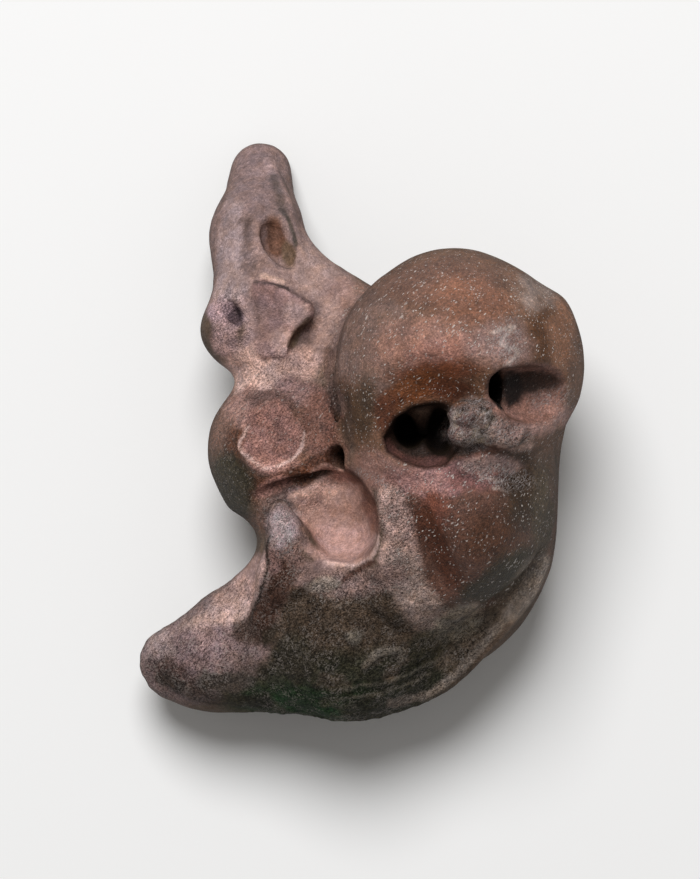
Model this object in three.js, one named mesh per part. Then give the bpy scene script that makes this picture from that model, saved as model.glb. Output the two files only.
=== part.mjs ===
// The periotic (ear bone) of a fossil dolphin, life size, lying as it rests on a table.
// Millimetres, +Z up, the flats that it rests on at z = 0, the origin in the middle of its box.
//
// The bone is one piece. Its form is written as a field: a function that is negative inside the
// bone and positive outside. Each region of the bone is a few rounded bodies, flowed into each other
// with a named blend, and its pits, canals and windows are carved out the same way. At the end the
// field is meshed once, as one closed solid.

import * as THREE from "three";

// ---------------------------------------------------------------------------------------------
// Driving dimensions

// The middle of each region. The bodies and hollows of a region are placed from it.
const DOME = [5.9, 3.75, 12.4];
const LOBE = [5.3, -5.1, 9.8];
const BASE = [-0.9, -10.6, 8.0];
const BULGE = [-4.9, -1.1, 8.2];
const FRONT = [-6.1, 7.8, 8.0];
const BACK = [-5.4, -13.45, 6.6];
const WINDOW = [3.6, -0.2, 16.8];
const FUNNEL = [4.2, -3.4, 2.7];

const DOME_RADII = [7.66, 7.45, 8.2];
const LOBE_RADII = [6.5, 6.6, 8.6];
const BASE_RADII = [6.6, 7.62, 5.7];
const BULGE_RADII = [4.8, 4.7, 5.0];
const HORN_REACH = [-0.32, 8.68, -5.95];
const HORN_ROOT_RADIUS = 3.33;
const HORN_TIP_RADIUS = 1.92;
const HEEL_REACH = [-6.37, -1.15, -1.4];
const HEEL_ROOT_RADIUS = 4.3;
const HEEL_TIP_RADIUS = 2.25;
const HEEL_SQUASH = 1.15;

// How wide the fillet is where two bodies meet, or where a hollow opens.
const FLOW = 2.6;
const SWELL = 1.6;
const FILLET = 0.9;
const LIP = 0.5;

// Everything below this height is trimmed, which leaves the small flats that the bone rests on.
const TABLE = 0.8;

// ---------------------------------------------------------------------------------------------
// Rounded bodies and the ways to join them

const RAD = Math.PI / 180;

// The place that lies dx, dy, dz from another.
const off = (place, dx, dy, dz) => [place[0] + dx, place[1] + dy, place[2] + dz];

// An ellipsoid with its three radii, turned by rx, ry, rz degrees.
function egg(at, radii, turn = [0, 0, 0]) {
  const [cx, cy, cz] = at;
  const [a, b, c] = radii;
  const euler = new THREE.Euler(turn[0] * RAD, turn[1] * RAD, turn[2] * RAD, "ZYX");
  const e = new THREE.Matrix4().makeRotationFromEuler(euler).elements;
  return (x, y, z) => {
    const dx = x - cx;
    const dy = y - cy;
    const dz = z - cz;
    const p = (e[0] * dx + e[1] * dy + e[2] * dz) / a;
    const q = (e[4] * dx + e[5] * dy + e[6] * dz) / b;
    const r = (e[8] * dx + e[9] * dy + e[10] * dz) / c;
    const reach = Math.sqrt(p * p + q * q + r * r);
    const steep = Math.sqrt((p * p) / (a * a) + (q * q) / (b * b) + (r * r) / (c * c));
    return steep < 1e-9 ? -Math.min(a, b, c) : (reach * (reach - 1)) / steep;
  };
}

// A round bar between two points, tapering from one radius to the other, with ball ends.
// `squash` above 1 flattens it in height.
function taper(start, startRadius, end, endRadius, squash = 1) {
  const ux = end[0] - start[0];
  const uy = end[1] - start[1];
  const uz = (end[2] - start[2]) * squash;
  const span = ux * ux + uy * uy + uz * uz;
  const shrink = startRadius - endRadius;
  const slope = span - shrink * shrink;
  return (x, y, z) => {
    const dx = x - start[0];
    const dy = y - start[1];
    const dz = (z - start[2]) * squash;
    const run = dx * ux + dy * uy + dz * uz;
    const past = run - span;
    const wx = dx * span - ux * run;
    const wy = dy * span - uy * run;
    const wz = dz * span - uz * run;
    const aside = wx * wx + wy * wy + wz * wz;
    const side = Math.sign(shrink) * shrink * shrink * aside;
    if (Math.sign(past) * slope * past * past * span > side) {
      return Math.sqrt(aside + past * past * span) / span - endRadius;
    }
    if (Math.sign(run) * slope * run * run * span < side) {
      return Math.sqrt(aside + run * run * span) / span - startRadius;
    }
    return (Math.sqrt((aside * slope) / span) + run * shrink) / span - startRadius;
  };
}

// A slab with a many-sided outline seen from above, `half` thick each way from `level`, its rim
// rounded by `round`. `slope` tips its top: rise per mm along x and along y from the first corner.
function plate(corners, level, half, round, slope = [0, 0]) {
  const count = corners.length;
  const [sx, sy] = corners[0];
  return (x, y, z) => {
    let nearest = Infinity;
    let inside = -1;
    for (let i = 0; i < count; i++) {
      const [ax, ay] = corners[i];
      const [bx, by] = corners[(i + 1) % count];
      const ex = bx - ax;
      const ey = by - ay;
      const px = x - ax;
      const py = y - ay;
      const t = Math.min(1, Math.max(0, (px * ex + py * ey) / (ex * ex + ey * ey)));
      nearest = Math.min(nearest, Math.hypot(px - ex * t, py - ey * t));
      if (ay > y !== by > y && x < ax + (ex * (y - ay)) / ey) inside = -inside;
    }
    const p = round - inside * nearest;
    const middle = level + slope[0] * (x - sx) + slope[1] * (y - sy);
    const r = Math.abs(z - middle) - half + round;
    return Math.hypot(Math.max(p, 0), Math.max(r, 0)) + Math.min(Math.max(p, r), 0) - round;
  };
}

// A level ring, `radius` to its middle line and `thick` in section.
function ring(at, radius, thick) {
  return (x, y, z) => {
    const across = Math.hypot(x - at[0], y - at[1]) - radius;
    return Math.hypot(across, z - at[2]) - thick;
  };
}

// Straight pieces between two of a strand's points.
const STRAND_STEPS = 4;

// A round strand along a smooth curve through a few points. Its ends thin to the share `ends`.
function strand(points, thick, ends = 0.4) {
  const through = points.map((p) => new THREE.Vector3(...p));
  const curve = new THREE.CatmullRomCurve3(through, false, "catmullrom");
  const stops = curve.getPoints((points.length - 1) * STRAND_STEPS);
  const last = stops.length - 1;
  return (x, y, z) => {
    let nearest = Infinity;
    for (let i = 0; i < last; i++) {
      const a = stops[i];
      const ux = stops[i + 1].x - a.x;
      const uy = stops[i + 1].y - a.y;
      const uz = stops[i + 1].z - a.z;
      const dx = x - a.x;
      const dy = y - a.y;
      const dz = z - a.z;
      const t = (dx * ux + dy * uy + dz * uz) / (ux * ux + uy * uy + uz * uz);
      const s = Math.min(1, Math.max(0, t));
      const end = Math.abs((2 * (i + s)) / last - 1);
      const radius = thick * (1 - (1 - ends) * end * end);
      const d = Math.hypot(dx - ux * s, dy - uy * s, dz - uz * s) - radius;
      if (d < nearest) nearest = d;
    }
    return nearest;
  };
}

// Material added with a soft fillet about as wide as `blend`.
function fuse(blend, ...bodies) {
  return (x, y, z) => {
    let d = bodies[0](x, y, z);
    for (let i = 1; i < bodies.length; i++) {
      const e = bodies[i](x, y, z);
      const h = Math.max(blend - Math.abs(d - e), 0) / blend;
      d = Math.min(d, e) - (h * h * blend) / 4;
    }
    return d;
  };
}

// Material taken away, with the edge rounded by about `blend`.
function carve(blend, body, ...tools) {
  return (x, y, z) => {
    let d = body(x, y, z);
    for (const tool of tools) {
      const e = -tool(x, y, z);
      const h = Math.max(blend - Math.abs(d - e), 0) / blend;
      d = Math.max(d, e) + (h * h * blend) / 4;
    }
    return d;
  };
}

// ---------------------------------------------------------------------------------------------
// Cochlear part: the big dome that holds the hearing spiral

const dome = egg(DOME, DOME_RADII);
const domeCrown = egg(off(DOME, -0.2, 5.2, -0.4), [2.8, 1.95, 4.6]);
const domeFoot = egg(off(DOME, 1.5, -1.5, -6.2), [5.8, 6.0, 5.75]);
const cornerBoss = egg(off(DOME, 6.3, 1.3, -0.4), [1.25, 3.0, 3.2], [0, 0, 4]);
const cornerKnob = egg(off(DOME, 5.75, 3.6, 0.2), [0.9, 0.8, 1.8]);
const corner = fuse(FILLET, cornerBoss, cornerKnob);
const windowWall = egg(off(DOME, -2.0, -4.95, -0.2), [4.5, 4.4, 6.2]);
const sideFlank = taper(off(DOME, -5.5, -0.35, -1.0), 1.9, off(DOME, -4.6, -6.15, 1.0), 2.0);
const cochlea = fuse(SWELL, dome, domeCrown, corner, windowWall, sideFlank);

// ---------------------------------------------------------------------------------------------
// Lower part of the bone, under the windows, with a bead and a shallow channel along its edge

const lowerLobe = egg(LOBE, LOBE_RADII, [0, 0, -12]);
const lobeShoulder = egg(off(LOBE, 4.1, 2.4, 0.2), [2.75, 3.6, 5.2]);
const skirt = egg(off(LOBE, -2.3, -1.9, -3.4), [8.9, 8.7, 5.75]);
const baseLobe = egg(BASE, BASE_RADII);
const core = egg(off(BASE, 1.9, 7.1, -0.4), [6.8, 10.4, 6.0]);
const middleRidge = taper(off(LOBE, -3.5, 0.9, 7.0), 0.8, off(LOBE, -2.8, -4.4, 3.3), 2.3);
const lowerRim = strand(
  [
    off(LOBE, 6.0, -2.6, -0.6),
    off(LOBE, 5.2, -4.4, -0.6),
    off(LOBE, 3.9, -6.1, -0.6),
    off(LOBE, 2.3, -7.9, -0.8),
    off(LOBE, 0.8, -9.6, -1.1),
    off(LOBE, -0.9, -10.95, -1.5),
    off(LOBE, -3.0, -11.8, -1.9),
    off(LOBE, -4.8, -12.35, -2.6),
  ],
  0.85,
  0.5,
);
const rimChannel = strand(
  [
    off(LOBE, 5.3, -3.3, 1.3),
    off(LOBE, 4.0, -5.1, 1.9),
    off(LOBE, 2.4, -6.9, 1.7),
    off(LOBE, 0.4, -8.7, 1.2),
  ],
  0.7,
  0.5,
);

// ---------------------------------------------------------------------------------------------
// Side bulge, with a crease below it and a shelf of sediment

const sideBulge = egg(BULGE, BULGE_RADII);
const bulgeFoot = egg(off(BULGE, 0.6, -2.9, -1.2), [3.75, 2.8, 4.4]);
const bulgeBridge = egg(off(BULGE, 3.5, 1.7, 1.4), [3.0, 3.2, 3.4]);
const bulgeCrease = strand(
  [
    off(BULGE, -1.8, -3.1, 3.5),
    off(BULGE, -0.8, -2.7, 4.0),
    off(BULGE, 0.4, -2.3, 4.2),
    off(BULGE, 1.6, -1.8, 4.1),
    off(BULGE, 2.8, -1.3, 3.9),
  ],
  0.5,
);
const sedimentShelf = egg(off(BULGE, 0.5, -3.2, 3.3), [1.8, 0.7, 0.8], [0, 0, 14]);

// ---------------------------------------------------------------------------------------------
// Front process, with the side knob and the small ossicle stuck on it

const hornMiddle = off(FRONT, -0.5, 4.7, -2.3);
const hornEnd = off(FRONT, ...HORN_REACH);
const hornRoot = taper(FRONT, HORN_ROOT_RADIUS, hornMiddle, 2.66);
const hornTip = taper(hornMiddle, 2.62, hornEnd, HORN_TIP_RADIUS);
const hornEdge = strand(
  [
    off(FRONT, 0.2, 9.2, -3.9),
    off(FRONT, 1.0, 6.8, -1.3),
    off(FRONT, 1.5, 4.2, 0.4),
    off(FRONT, 2.4, 2.4, 0.7),
  ],
  0.42,
);
const frontWeb = taper(off(FRONT, 1.7, 1.5, -1.4), 2.6, off(FRONT, 7.1, -2.5, 0.4), 3.1);
const sideKnob = egg(off(FRONT, -1.95, -1.5, 0.2), [2.0, 1.7, 2.6]);
const knobFoot = egg(off(FRONT, -1.7, -2.5, -0.2), [1.6, 1.4, 2.4], [0, 0, -30]);
const knob = fuse(FILLET, sideKnob, knobFoot);
const neck = egg(off(FRONT, 1.7, -3.6, -0.6), [3.05, 3.0, 3.6]);

const onFront = ([x, y]) => [FRONT[0] + x, FRONT[1] + y];
const OSSICLE_CORNERS = [
  [-0.6, 1.5],
  [0.0, 1.65],
  [1.35, 1.1],
  [2.9, 0.2],
  [2.85, -0.5],
  [2.1, -1.4],
  [1.7, -2.0],
  [1.35, -3.1],
  [-0.1, -3.2],
  [-0.8, -2.2],
  [-0.85, 0.0],
];
const OSSICLE_LEVEL = FRONT[2] + 2.1;
const OSSICLE_HALF = 1.3;
const OSSICLE_SLOPE = [0.22, 0.1];
const PLATE_EDGE = 0.5;
const ossiclePlate = plate(
  OSSICLE_CORNERS.map(onFront),
  OSSICLE_LEVEL,
  OSSICLE_HALF,
  PLATE_EDGE,
  OSSICLE_SLOPE,
);
const ossicleKnob = egg(off(FRONT, 2.3, -0.3, 3.4), [0.9, 0.8, 0.5], [0, 10, -30]);
const ossicle = fuse(LIP, ossiclePlate, ossicleKnob);

// ---------------------------------------------------------------------------------------------
// Back process, and the crest between it and the muscle's hollow

const heelEnd = off(BACK, ...HEEL_REACH);
const backHorn = taper(BACK, HEEL_ROOT_RADIUS, heelEnd, HEEL_TIP_RADIUS, HEEL_SQUASH);
const backHeel = egg(off(BACK, -3.8, -1.6, -0.8), [3.2, 2.45, 3.0]);
const backBrow = egg(off(BACK, -2.8, 2.15, -0.4), [2.8, 1.35, 3.2], [0, 0, 36]);
const backShoulder = egg(off(BACK, 1.35, 3.2, 0.8), [2.05, 2.6, 3.4]);
const crestNose = taper(off(BACK, 0.3, 8.6, 6.8), 0.6, off(BACK, 1.2, 4.9, 5.6), 2.1);
const crestEdge = taper(off(BACK, 0.1, 4.3, 5.9), 1.2, off(BACK, -0.75, 1.5, 3.9), 0.9);
const crest = fuse(FILLET, crestNose, crestEdge);

// ---------------------------------------------------------------------------------------------
// The round window: a mouth with a cornered outline, and two chambers behind it

const windowDish = egg(off(WINDOW, 0.7, 0.7, 4.9), [4.6, 4.3, 4.1]);
const windowValley = taper(off(WINDOW, 1.8, -1.5, 5.0), 2.4, off(WINDOW, 9.4, -1.3, 1.4), 2.2);
const MOUTH_CORNERS = [
  [-2.2, -0.2],
  [-1.5, 1.0],
  [-0.45, 1.7],
  [0.9, 1.95],
  [2.3, 1.8],
  [2.45, -0.7],
  [1.55, -1.85],
  [0.3, -2.0],
  [-0.95, -1.65],
  [-1.95, -1.0],
];
const onWindow = ([x, y]) => [WINDOW[0] + x, WINDOW[1] + y];
const mouthCut = plate(MOUTH_CORNERS.map(onWindow), WINDOW[2] + 2.0, 4.0, 0.3);
const mouthBowl = egg(off(WINDOW, 0.1, 0, 1.5), [2.65, 2.25, 2.9]);
const windowMouth = (x, y, z) => Math.max(mouthCut(x, y, z), mouthBowl(x, y, z));
const windowVoid = egg(off(WINDOW, -0.65, 0.25, -1.6), [0.9, 1.1, 3.4], [0, 0, 20]);
const windowChamber = egg(off(WINDOW, 1.2, 0.2, -1.2), [0.95, 1.45, 2.8]);
const roundWindow = fuse(LIP, windowMouth, windowVoid, windowChamber);

// ---------------------------------------------------------------------------------------------
// The duct beside the window, and the other hollows of the upper side

const ductHole = egg(off(DOME, 2.55, -1.2, 6.1), [0.6, 1.25, 3.6], [0, 20, 6]);
const ductGroove = egg(off(DOME, 5.1, -1.45, 6.0), [3.7, 1.5, 2.3], [-34, 32, 0]);
const ductBrow = egg(off(DOME, 4.4, -0.8, 5.9), [2.6, 0.85, 1.4], [0, 34, -4]);
const duct = fuse(FILLET, ductGroove, ductBrow);
const lobeValley = taper(off(LOBE, -2.0, 0.6, 8.6), 1.1, off(LOBE, -0.8, -4.6, 7.2), 1.6);
const backBay = taper(off(BULGE, -3.25, -5.8, 8.0), 1.5, off(BULGE, -3.25, -5.8, -10.0), 1.5);
const backFace = egg(off(BACK, -2.4, 3.2, 5.5), [2.0, 2.9, 3.6], [0, 18, -38]);
const hammerPit = egg(off(BULGE, -0.7, 1.3, 5.4), [2.05, 2.4, 1.35], [-6, 8, 0]);
const muscleBowl = egg(off(BULGE, 3.45, -4.55, 6.9), [2.6, 2.75, 3.9], [0, 0, 8]);
const bowlMouth = egg(off(BULGE, 1.7, -3.7, 5.9), [2.1, 1.0, 2.3], [0, -6, -40]);
const bowlTop = egg(off(BULGE, 3.2, -2.4, 6.1), [1.8, 1.3, 2.8], [0, 0, -20]);
const muscleHollow = fuse(FILLET, muscleBowl, bowlMouth, bowlTop);
const facialHole = taper(off(BULGE, 3.5, -0.5, 5.0), 0.7, off(BULGE, 5.0, -0.6, 1.3), 0.7);
const sideCleft = strand(
  [
    off(BULGE, 2.9, 6.4, 3.6),
    off(BULGE, 3.2, 4.4, 4.6),
    off(BULGE, 3.6, 2.6, 4.9),
    off(BULGE, 3.95, 0.8, 4.6),
    off(BULGE, 4.1, -0.8, 4.0),
  ],
  0.5,
);
const hornRecess = egg(off(FRONT, 0.95, 4.0, 1.3), [0.95, 1.8, 1.3], [-33, 22, 20]);
const frontDip = egg(off(FRONT, 3.0, -2.3, 5.1), [1.5, 2.2, 2.6], [0, 0, -10]);

// Rock that still fills the gap between the round window and the duct.
const rockCrown = egg(off(WINDOW, 2.75, 1.25, 1.9), [1.05, 0.85, 1.1]);
const rockLump = egg(off(WINDOW, 2.7, 0.0, 1.5), [1.05, 0.85, 1.1]);
const rockTail = egg(off(WINDOW, 4.5, 0.2, 1.2), [2.0, 1.0, 0.9], [0, 14, -12]);
const rockBack = egg(off(WINDOW, 4.0, 1.0, 1.7), [1.3, 1.15, 1.0]);
const rock = fuse(LIP, rockCrown, rockLump, rockTail, rockBack);

// ---------------------------------------------------------------------------------------------
// Underside: the funnel where the nerves enter, with its rim, two deep pits and a slit

const funnelRim = ring(FUNNEL, 3.6, 1.5);
const nerveFunnel = egg(off(FUNNEL, 0, 0, -2.5), [3.5, 2.8, 4.6], [0, 0, 35]);
const hearingPit = taper(off(FUNNEL, 1.2, 0.8, 0.9), 1.3, off(FUNNEL, 1.8, 1.6, 4.7), 0.6);
const faceNervePit = taper(off(FUNNEL, -1.4, -1.2, 0.7), 1.0, off(FUNNEL, -2.0, -1.8, 4.5), 0.5);
const ductSlit = egg(off(FUNNEL, -3.4, -6.0, -1.9), [1.7, 0.6, 1.8], [0, 0, 20]);
const table = (x, y, z) => z - TABLE;

// ---------------------------------------------------------------------------------------------
// The whole bone

const trunk = fuse(FLOW, core, baseLobe, skirt, fuse(SWELL, lowerLobe, lobeShoulder));
const side = fuse(SWELL, sideBulge, bulgeFoot, bulgeBridge);
const front = fuse(SWELL, hornRoot, hornTip, frontWeb, knob, neck);
const back = fuse(SWELL, backHorn, backHeel, backBrow, backShoulder);
const body = fuse(FLOW, fuse(SWELL, trunk, side, front, back), domeFoot);
const whole = fuse(FILLET, body, cochlea, lowerRim, middleRidge, hornEdge, funnelRim);
const valleyed = carve(SWELL, whole, lobeValley, windowDish, rimChannel);
const dished = carve(FILLET, valleyed, backBay, backFace, windowValley, hammerPit, frontDip);
const hollowed = carve(FILLET, dished, nerveFunnel);
const creased = carve(LIP, hollowed, muscleHollow, bulgeCrease, hornRecess);
const crested = fuse(LIP, creased, crest, sedimentShelf);
const opened = carve(LIP, crested, roundWindow, duct, ductHole, facialHole, sideCleft);
const drilled = carve(LIP, opened, hearingPit, faceNervePit, ductSlit);
const dressed = fuse(LIP, drilled, rock, ossicle);
const bone = carve(LIP / 2, dressed, table);

// ---------------------------------------------------------------------------------------------
// Meshing: one vertex in every grid cell the surface passes through, drawn onto the surface

const CELL = 0.85;
const LOW = [-15.2, -19.4, -1.2];
const HIGH = [15.6, 19.6, 21.8];
const RELAX_ROUNDS = 4;
const SETTLE_STEPS = 4;
const PROBE = 0.02;

// A cell's eight corners are numbered 0 to 7, one bit each for x, y and z. EDGES holds its twelve
// edges as pairs of corners, and FACES the four edges round each of its six faces.
const EDGES = [];
for (let axis = 0; axis < 3; axis++) {
  for (let corner = 0; corner < 8; corner++) {
    if ((corner >> axis) % 2 === 0) EDGES.push({ axis, start: corner, end: corner + 2 ** axis });
  }
}
const FACES = [];
const CORNERS = [0, 1, 2, 3, 4, 5, 6, 7];
for (let axis = 0; axis < 3; axis++) {
  for (const side of [0, 1]) {
    const onFace = (corner) => (corner >> axis) % 2 === side;
    FACES.push({
      corners: CORNERS.filter(onFace),
      edges: [...EDGES.keys()].filter((k) => onFace(EDGES[k].start) && onFace(EDGES[k].end)),
    });
  }
}

// Which sheet of the surface each cut edge of a cell belongs to. Cut edges that share a face belong
// to one sheet. Where all four edges of a face are cut, the mean of its corners pairs them up.
function sheetsOf(corner) {
  const cut = EDGES.map(({ start, end }) => corner[start] < 0 !== corner[end] < 0);
  const sheet = [...EDGES.keys()];
  const join = (a, b) => {
    const [keep, drop] = [sheet[a], sheet[b]];
    for (let k = 0; k < sheet.length; k++) if (sheet[k] === drop) sheet[k] = keep;
  };
  for (const face of FACES) {
    const edges = face.edges.filter((k) => cut[k]);
    if (edges.length === 2) join(edges[0], edges[1]);
    if (edges.length < 4) continue;
    const mean = face.corners.reduce((sum, k) => sum + corner[k], 0);
    for (const lone of face.corners.filter((k) => corner[k] < 0 !== mean < 0)) {
      const touching = edges.filter((k) => EDGES[k].start === lone || EDGES[k].end === lone);
      join(touching[0], touching[1]);
    }
  }
  return sheet.map((name, k) => (cut[k] ? name : -1));
}

// The point moved onto the surface, down the slope of the field.
function settle(field, point) {
  let [x, y, z] = point;
  for (let step = 0; step < SETTLE_STEPS; step++) {
    const gx = field(x + PROBE, y, z) - field(x - PROBE, y, z);
    const gy = field(x, y + PROBE, z) - field(x, y - PROBE, z);
    const gz = field(x, y, z + PROBE) - field(x, y, z - PROBE);
    const steep = Math.max(gx * gx + gy * gy + gz * gz, PROBE * PROBE);
    const depth = Math.min(CELL, Math.max(-CELL, field(x, y, z)));
    const move = (depth * 2 * PROBE) / steep;
    x -= gx * move;
    y -= gy * move;
    z -= gz * move;
  }
  return [x, y, z];
}

// The surface as points and four-sided faces: one point for each sheet in each cell, and one face
// round each grid edge that the surface cuts.
function meshField(field) {
  const [nx, ny, nz] = LOW.map((low, axis) => Math.ceil((HIGH[axis] - low) / CELL) + 1);
  const stride = [1, nx, nx * ny];
  const value = new Float64Array(nx * ny * nz);
  for (let n = 0; n < value.length; n++) {
    const i = n % nx;
    const j = Math.floor(n / nx) % ny;
    const k = Math.floor(n / stride[2]);
    value[n] = field(LOW[0] + i * CELL, LOW[1] + j * CELL, LOW[2] + k * CELL);
  }

  const points = [];
  const pointOf = new Map();
  for (let n = 0; n < value.length - stride[2] - stride[1] - 1; n++) {
    const corner = CORNERS.map(
      (c) => value[n + (c & 1) * stride[0] + ((c >> 1) & 1) * stride[1] + (c >> 2) * stride[2]],
    );
    const inside = corner.filter((d) => d < 0).length;
    if (inside === 0 || inside === 8) continue;
    const base = [n % nx, Math.floor(n / nx) % ny, Math.floor(n / stride[2])];
    const sheet = sheetsOf(corner);
    for (const name of new Set(sheet.filter((other) => other >= 0))) {
      const sum = [0, 0, 0];
      const own = [...EDGES.keys()].filter((k) => sheet[k] === name);
      for (const k of own) {
        const { axis, start, end } = EDGES[k];
        for (let a = 0; a < 3; a++) sum[a] += (start >> a) & 1;
        sum[axis] += corner[start] / (corner[start] - corner[end]);
        pointOf.set(n * EDGES.length + k, points.length);
      }
      points.push(sum.map((total, a) => LOW[a] + (base[a] + total / own.length) * CELL));
    }
  }

  const quads = [];
  for (let n = 0; n < value.length; n++) {
    for (let axis = 0; axis < 3; axis++) {
      const next = n + stride[axis];
      if (next >= value.length || value[n] < 0 === value[next] < 0) continue;
      const u = (axis + 1) % 3;
      const v = (axis + 2) % 3;
      const quad = [[1, 1], [0, 1], [0, 0], [1, 0]].map(([p, q]) => {
        const cell = n - p * stride[u] - q * stride[v];
        const start = p * 2 ** u + q * 2 ** v;
        const edge = EDGES.findIndex((e) => e.axis === axis && e.start === start);
        return pointOf.get(cell * EDGES.length + edge);
      });
      quads.push(value[n] < 0 ? quad : quad.reverse());
    }
  }
  return { points, quads };
}

// Each point moves half way to the middle of its neighbours, then back onto the surface, so that
// the faces come out even.
function relax(field, points, quads) {
  const sums = points.map(() => [0, 0, 0, 0]);
  for (const quad of quads) {
    for (let corner = 0; corner < 4; corner++) {
      const sum = sums[quad[corner]];
      const near = points[quad[(corner + 1) % 4]];
      for (let axis = 0; axis < 3; axis++) sum[axis] += near[axis];
      sum[3] += 1;
    }
  }
  return points.map((point, n) => {
    const moved = point.map((own, axis) => (own + sums[n][axis] / sums[n][3]) / 2);
    return settle(field, moved);
  });
}

// The closed solid of a field, its faces split along their shorter diagonal.
function solidOf(field) {
  const { points, quads } = meshField(field);
  let settled = points.map((point) => settle(field, point));
  for (let round = 0; round < RELAX_ROUNDS; round++) settled = relax(field, settled, quads);
  const gap = (a, b) => Math.hypot(...settled[a].map((own, axis) => own - settled[b][axis]));
  const faces = quads.flatMap(([a, b, c, d]) =>
    gap(a, c) < gap(b, d) ? [a, b, c, a, c, d] : [b, c, d, b, d, a],
  );
  const geometry = new THREE.BufferGeometry();
  geometry.setAttribute("position", new THREE.Float32BufferAttribute(settled.flat(), 3));
  geometry.setIndex(faces);
  geometry.computeVertexNormals();
  return geometry;
}

const geometry = solidOf(bone);
geometry.computeBoundingBox();
const middle = geometry.boundingBox.getCenter(new THREE.Vector3());
const fossil = new THREE.MeshStandardMaterial({ color: 0x6b4a3c, roughness: 0.55, metalness: 0 });
const periotic = new THREE.Mesh(geometry, fossil);
periotic.name = "periotic";
periotic.position.set(-middle.x, -middle.y, -geometry.boundingBox.min.z);

const model = new THREE.Group();
model.add(periotic);

export default model;
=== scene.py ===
# The ear bone (periotic) of a fossil dolphin, lying on a pale table with its windows up.
# Lengths in the bone's own sections are millimetres, on the axes of the solid model.

import math
import bpy
import numpy as np
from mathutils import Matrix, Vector


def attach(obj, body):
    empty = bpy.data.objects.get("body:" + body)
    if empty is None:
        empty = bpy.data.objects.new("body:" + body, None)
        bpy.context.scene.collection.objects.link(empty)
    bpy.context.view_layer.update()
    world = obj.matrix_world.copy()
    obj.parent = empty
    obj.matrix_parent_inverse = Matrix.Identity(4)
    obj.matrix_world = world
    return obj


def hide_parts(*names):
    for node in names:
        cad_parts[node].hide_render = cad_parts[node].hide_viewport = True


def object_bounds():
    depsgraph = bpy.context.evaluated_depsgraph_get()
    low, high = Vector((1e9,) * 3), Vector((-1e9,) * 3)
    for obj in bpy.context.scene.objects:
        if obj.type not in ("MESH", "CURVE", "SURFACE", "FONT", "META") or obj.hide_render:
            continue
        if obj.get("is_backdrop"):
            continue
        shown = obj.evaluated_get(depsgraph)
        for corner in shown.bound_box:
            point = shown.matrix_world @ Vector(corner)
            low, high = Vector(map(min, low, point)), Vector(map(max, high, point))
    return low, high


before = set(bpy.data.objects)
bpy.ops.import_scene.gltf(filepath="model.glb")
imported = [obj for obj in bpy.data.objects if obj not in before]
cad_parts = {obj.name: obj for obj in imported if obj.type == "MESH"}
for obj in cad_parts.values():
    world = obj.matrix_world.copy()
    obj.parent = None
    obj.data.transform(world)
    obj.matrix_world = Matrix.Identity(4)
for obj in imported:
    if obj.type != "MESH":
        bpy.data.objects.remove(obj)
solid_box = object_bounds()

# ---------------------------------------------------------------------------------------------
# Hearing dome: the smooth round part that holds the hearing spiral. It is the densest bone of
# the skull. It swells out of the body, with a boss at its far corner and a wall round the window.


# A form gives each point of (n, 3) its distance to the surface, negative inside the bone.
def turned(degrees):
    """The rotation for turns about x, then y, then z."""
    a, b, c = np.radians(degrees)
    about_x = [[1, 0, 0], [0, math.cos(a), -math.sin(a)], [0, math.sin(a), math.cos(a)]]
    about_y = [[math.cos(b), 0, math.sin(b)], [0, 1, 0], [-math.sin(b), 0, math.cos(b)]]
    about_z = [[math.cos(c), -math.sin(c), 0], [math.sin(c), math.cos(c), 0], [0, 0, 1]]
    return np.array(about_z) @ np.array(about_y) @ np.array(about_x)


def off(place, x, y, z):
    """The place that lies x, y, z from another."""
    return (place[0] + x, place[1] + y, place[2] + z)


def egg(middle, radii, turn=(0, 0, 0)):
    rotation = turned(turn)
    radii = np.array(radii)

    def form(p):
        scaled = ((p - middle) @ rotation) / radii
        reach = np.sqrt((scaled**2).sum(1))
        steep = np.sqrt(((scaled / radii) ** 2).sum(1))
        return reach * (reach - 1) / np.maximum(steep, 1e-9)

    return form


def taper(start, start_radius, end, end_radius, squash=1.0):
    """A round bar from one radius to another with ball ends, flattened in height by squash."""
    stretch = np.array([1, 1, squash])
    along = (np.array(end) - start) * stretch
    span = along @ along
    shrink = start_radius - end_radius
    slope = span - shrink**2

    def form(p):
        d = (p - start) * stretch
        run = d @ along
        past = run - span
        off_axis = ((d * span - run[:, None] * along) ** 2).sum(1)
        side = np.sign(shrink) * shrink**2 * off_axis
        body = (np.sqrt(off_axis * slope / span) + run * shrink) / span - start_radius
        at_start = np.sqrt(off_axis + run**2 * span) / span - start_radius
        at_end = np.sqrt(off_axis + past**2 * span) / span - end_radius
        body = np.where(np.sign(run) * slope * run**2 * span < side, at_start, body)
        return np.where(np.sign(past) * slope * past**2 * span > side, at_end, body)

    return form


def flow(fillet, *forms):
    def form(p):
        d = forms[0](p)
        for other in forms[1:]:
            e = other(p)
            h = np.maximum(fillet - np.abs(d - e), 0) / fillet
            d = np.minimum(d, e) - h * h * fillet / 4
        return d

    return form


# How wide the fillet is where forms meet: a broad swell, or an ordinary join.
SWELL = 1.6
FILLET = 0.9

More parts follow.
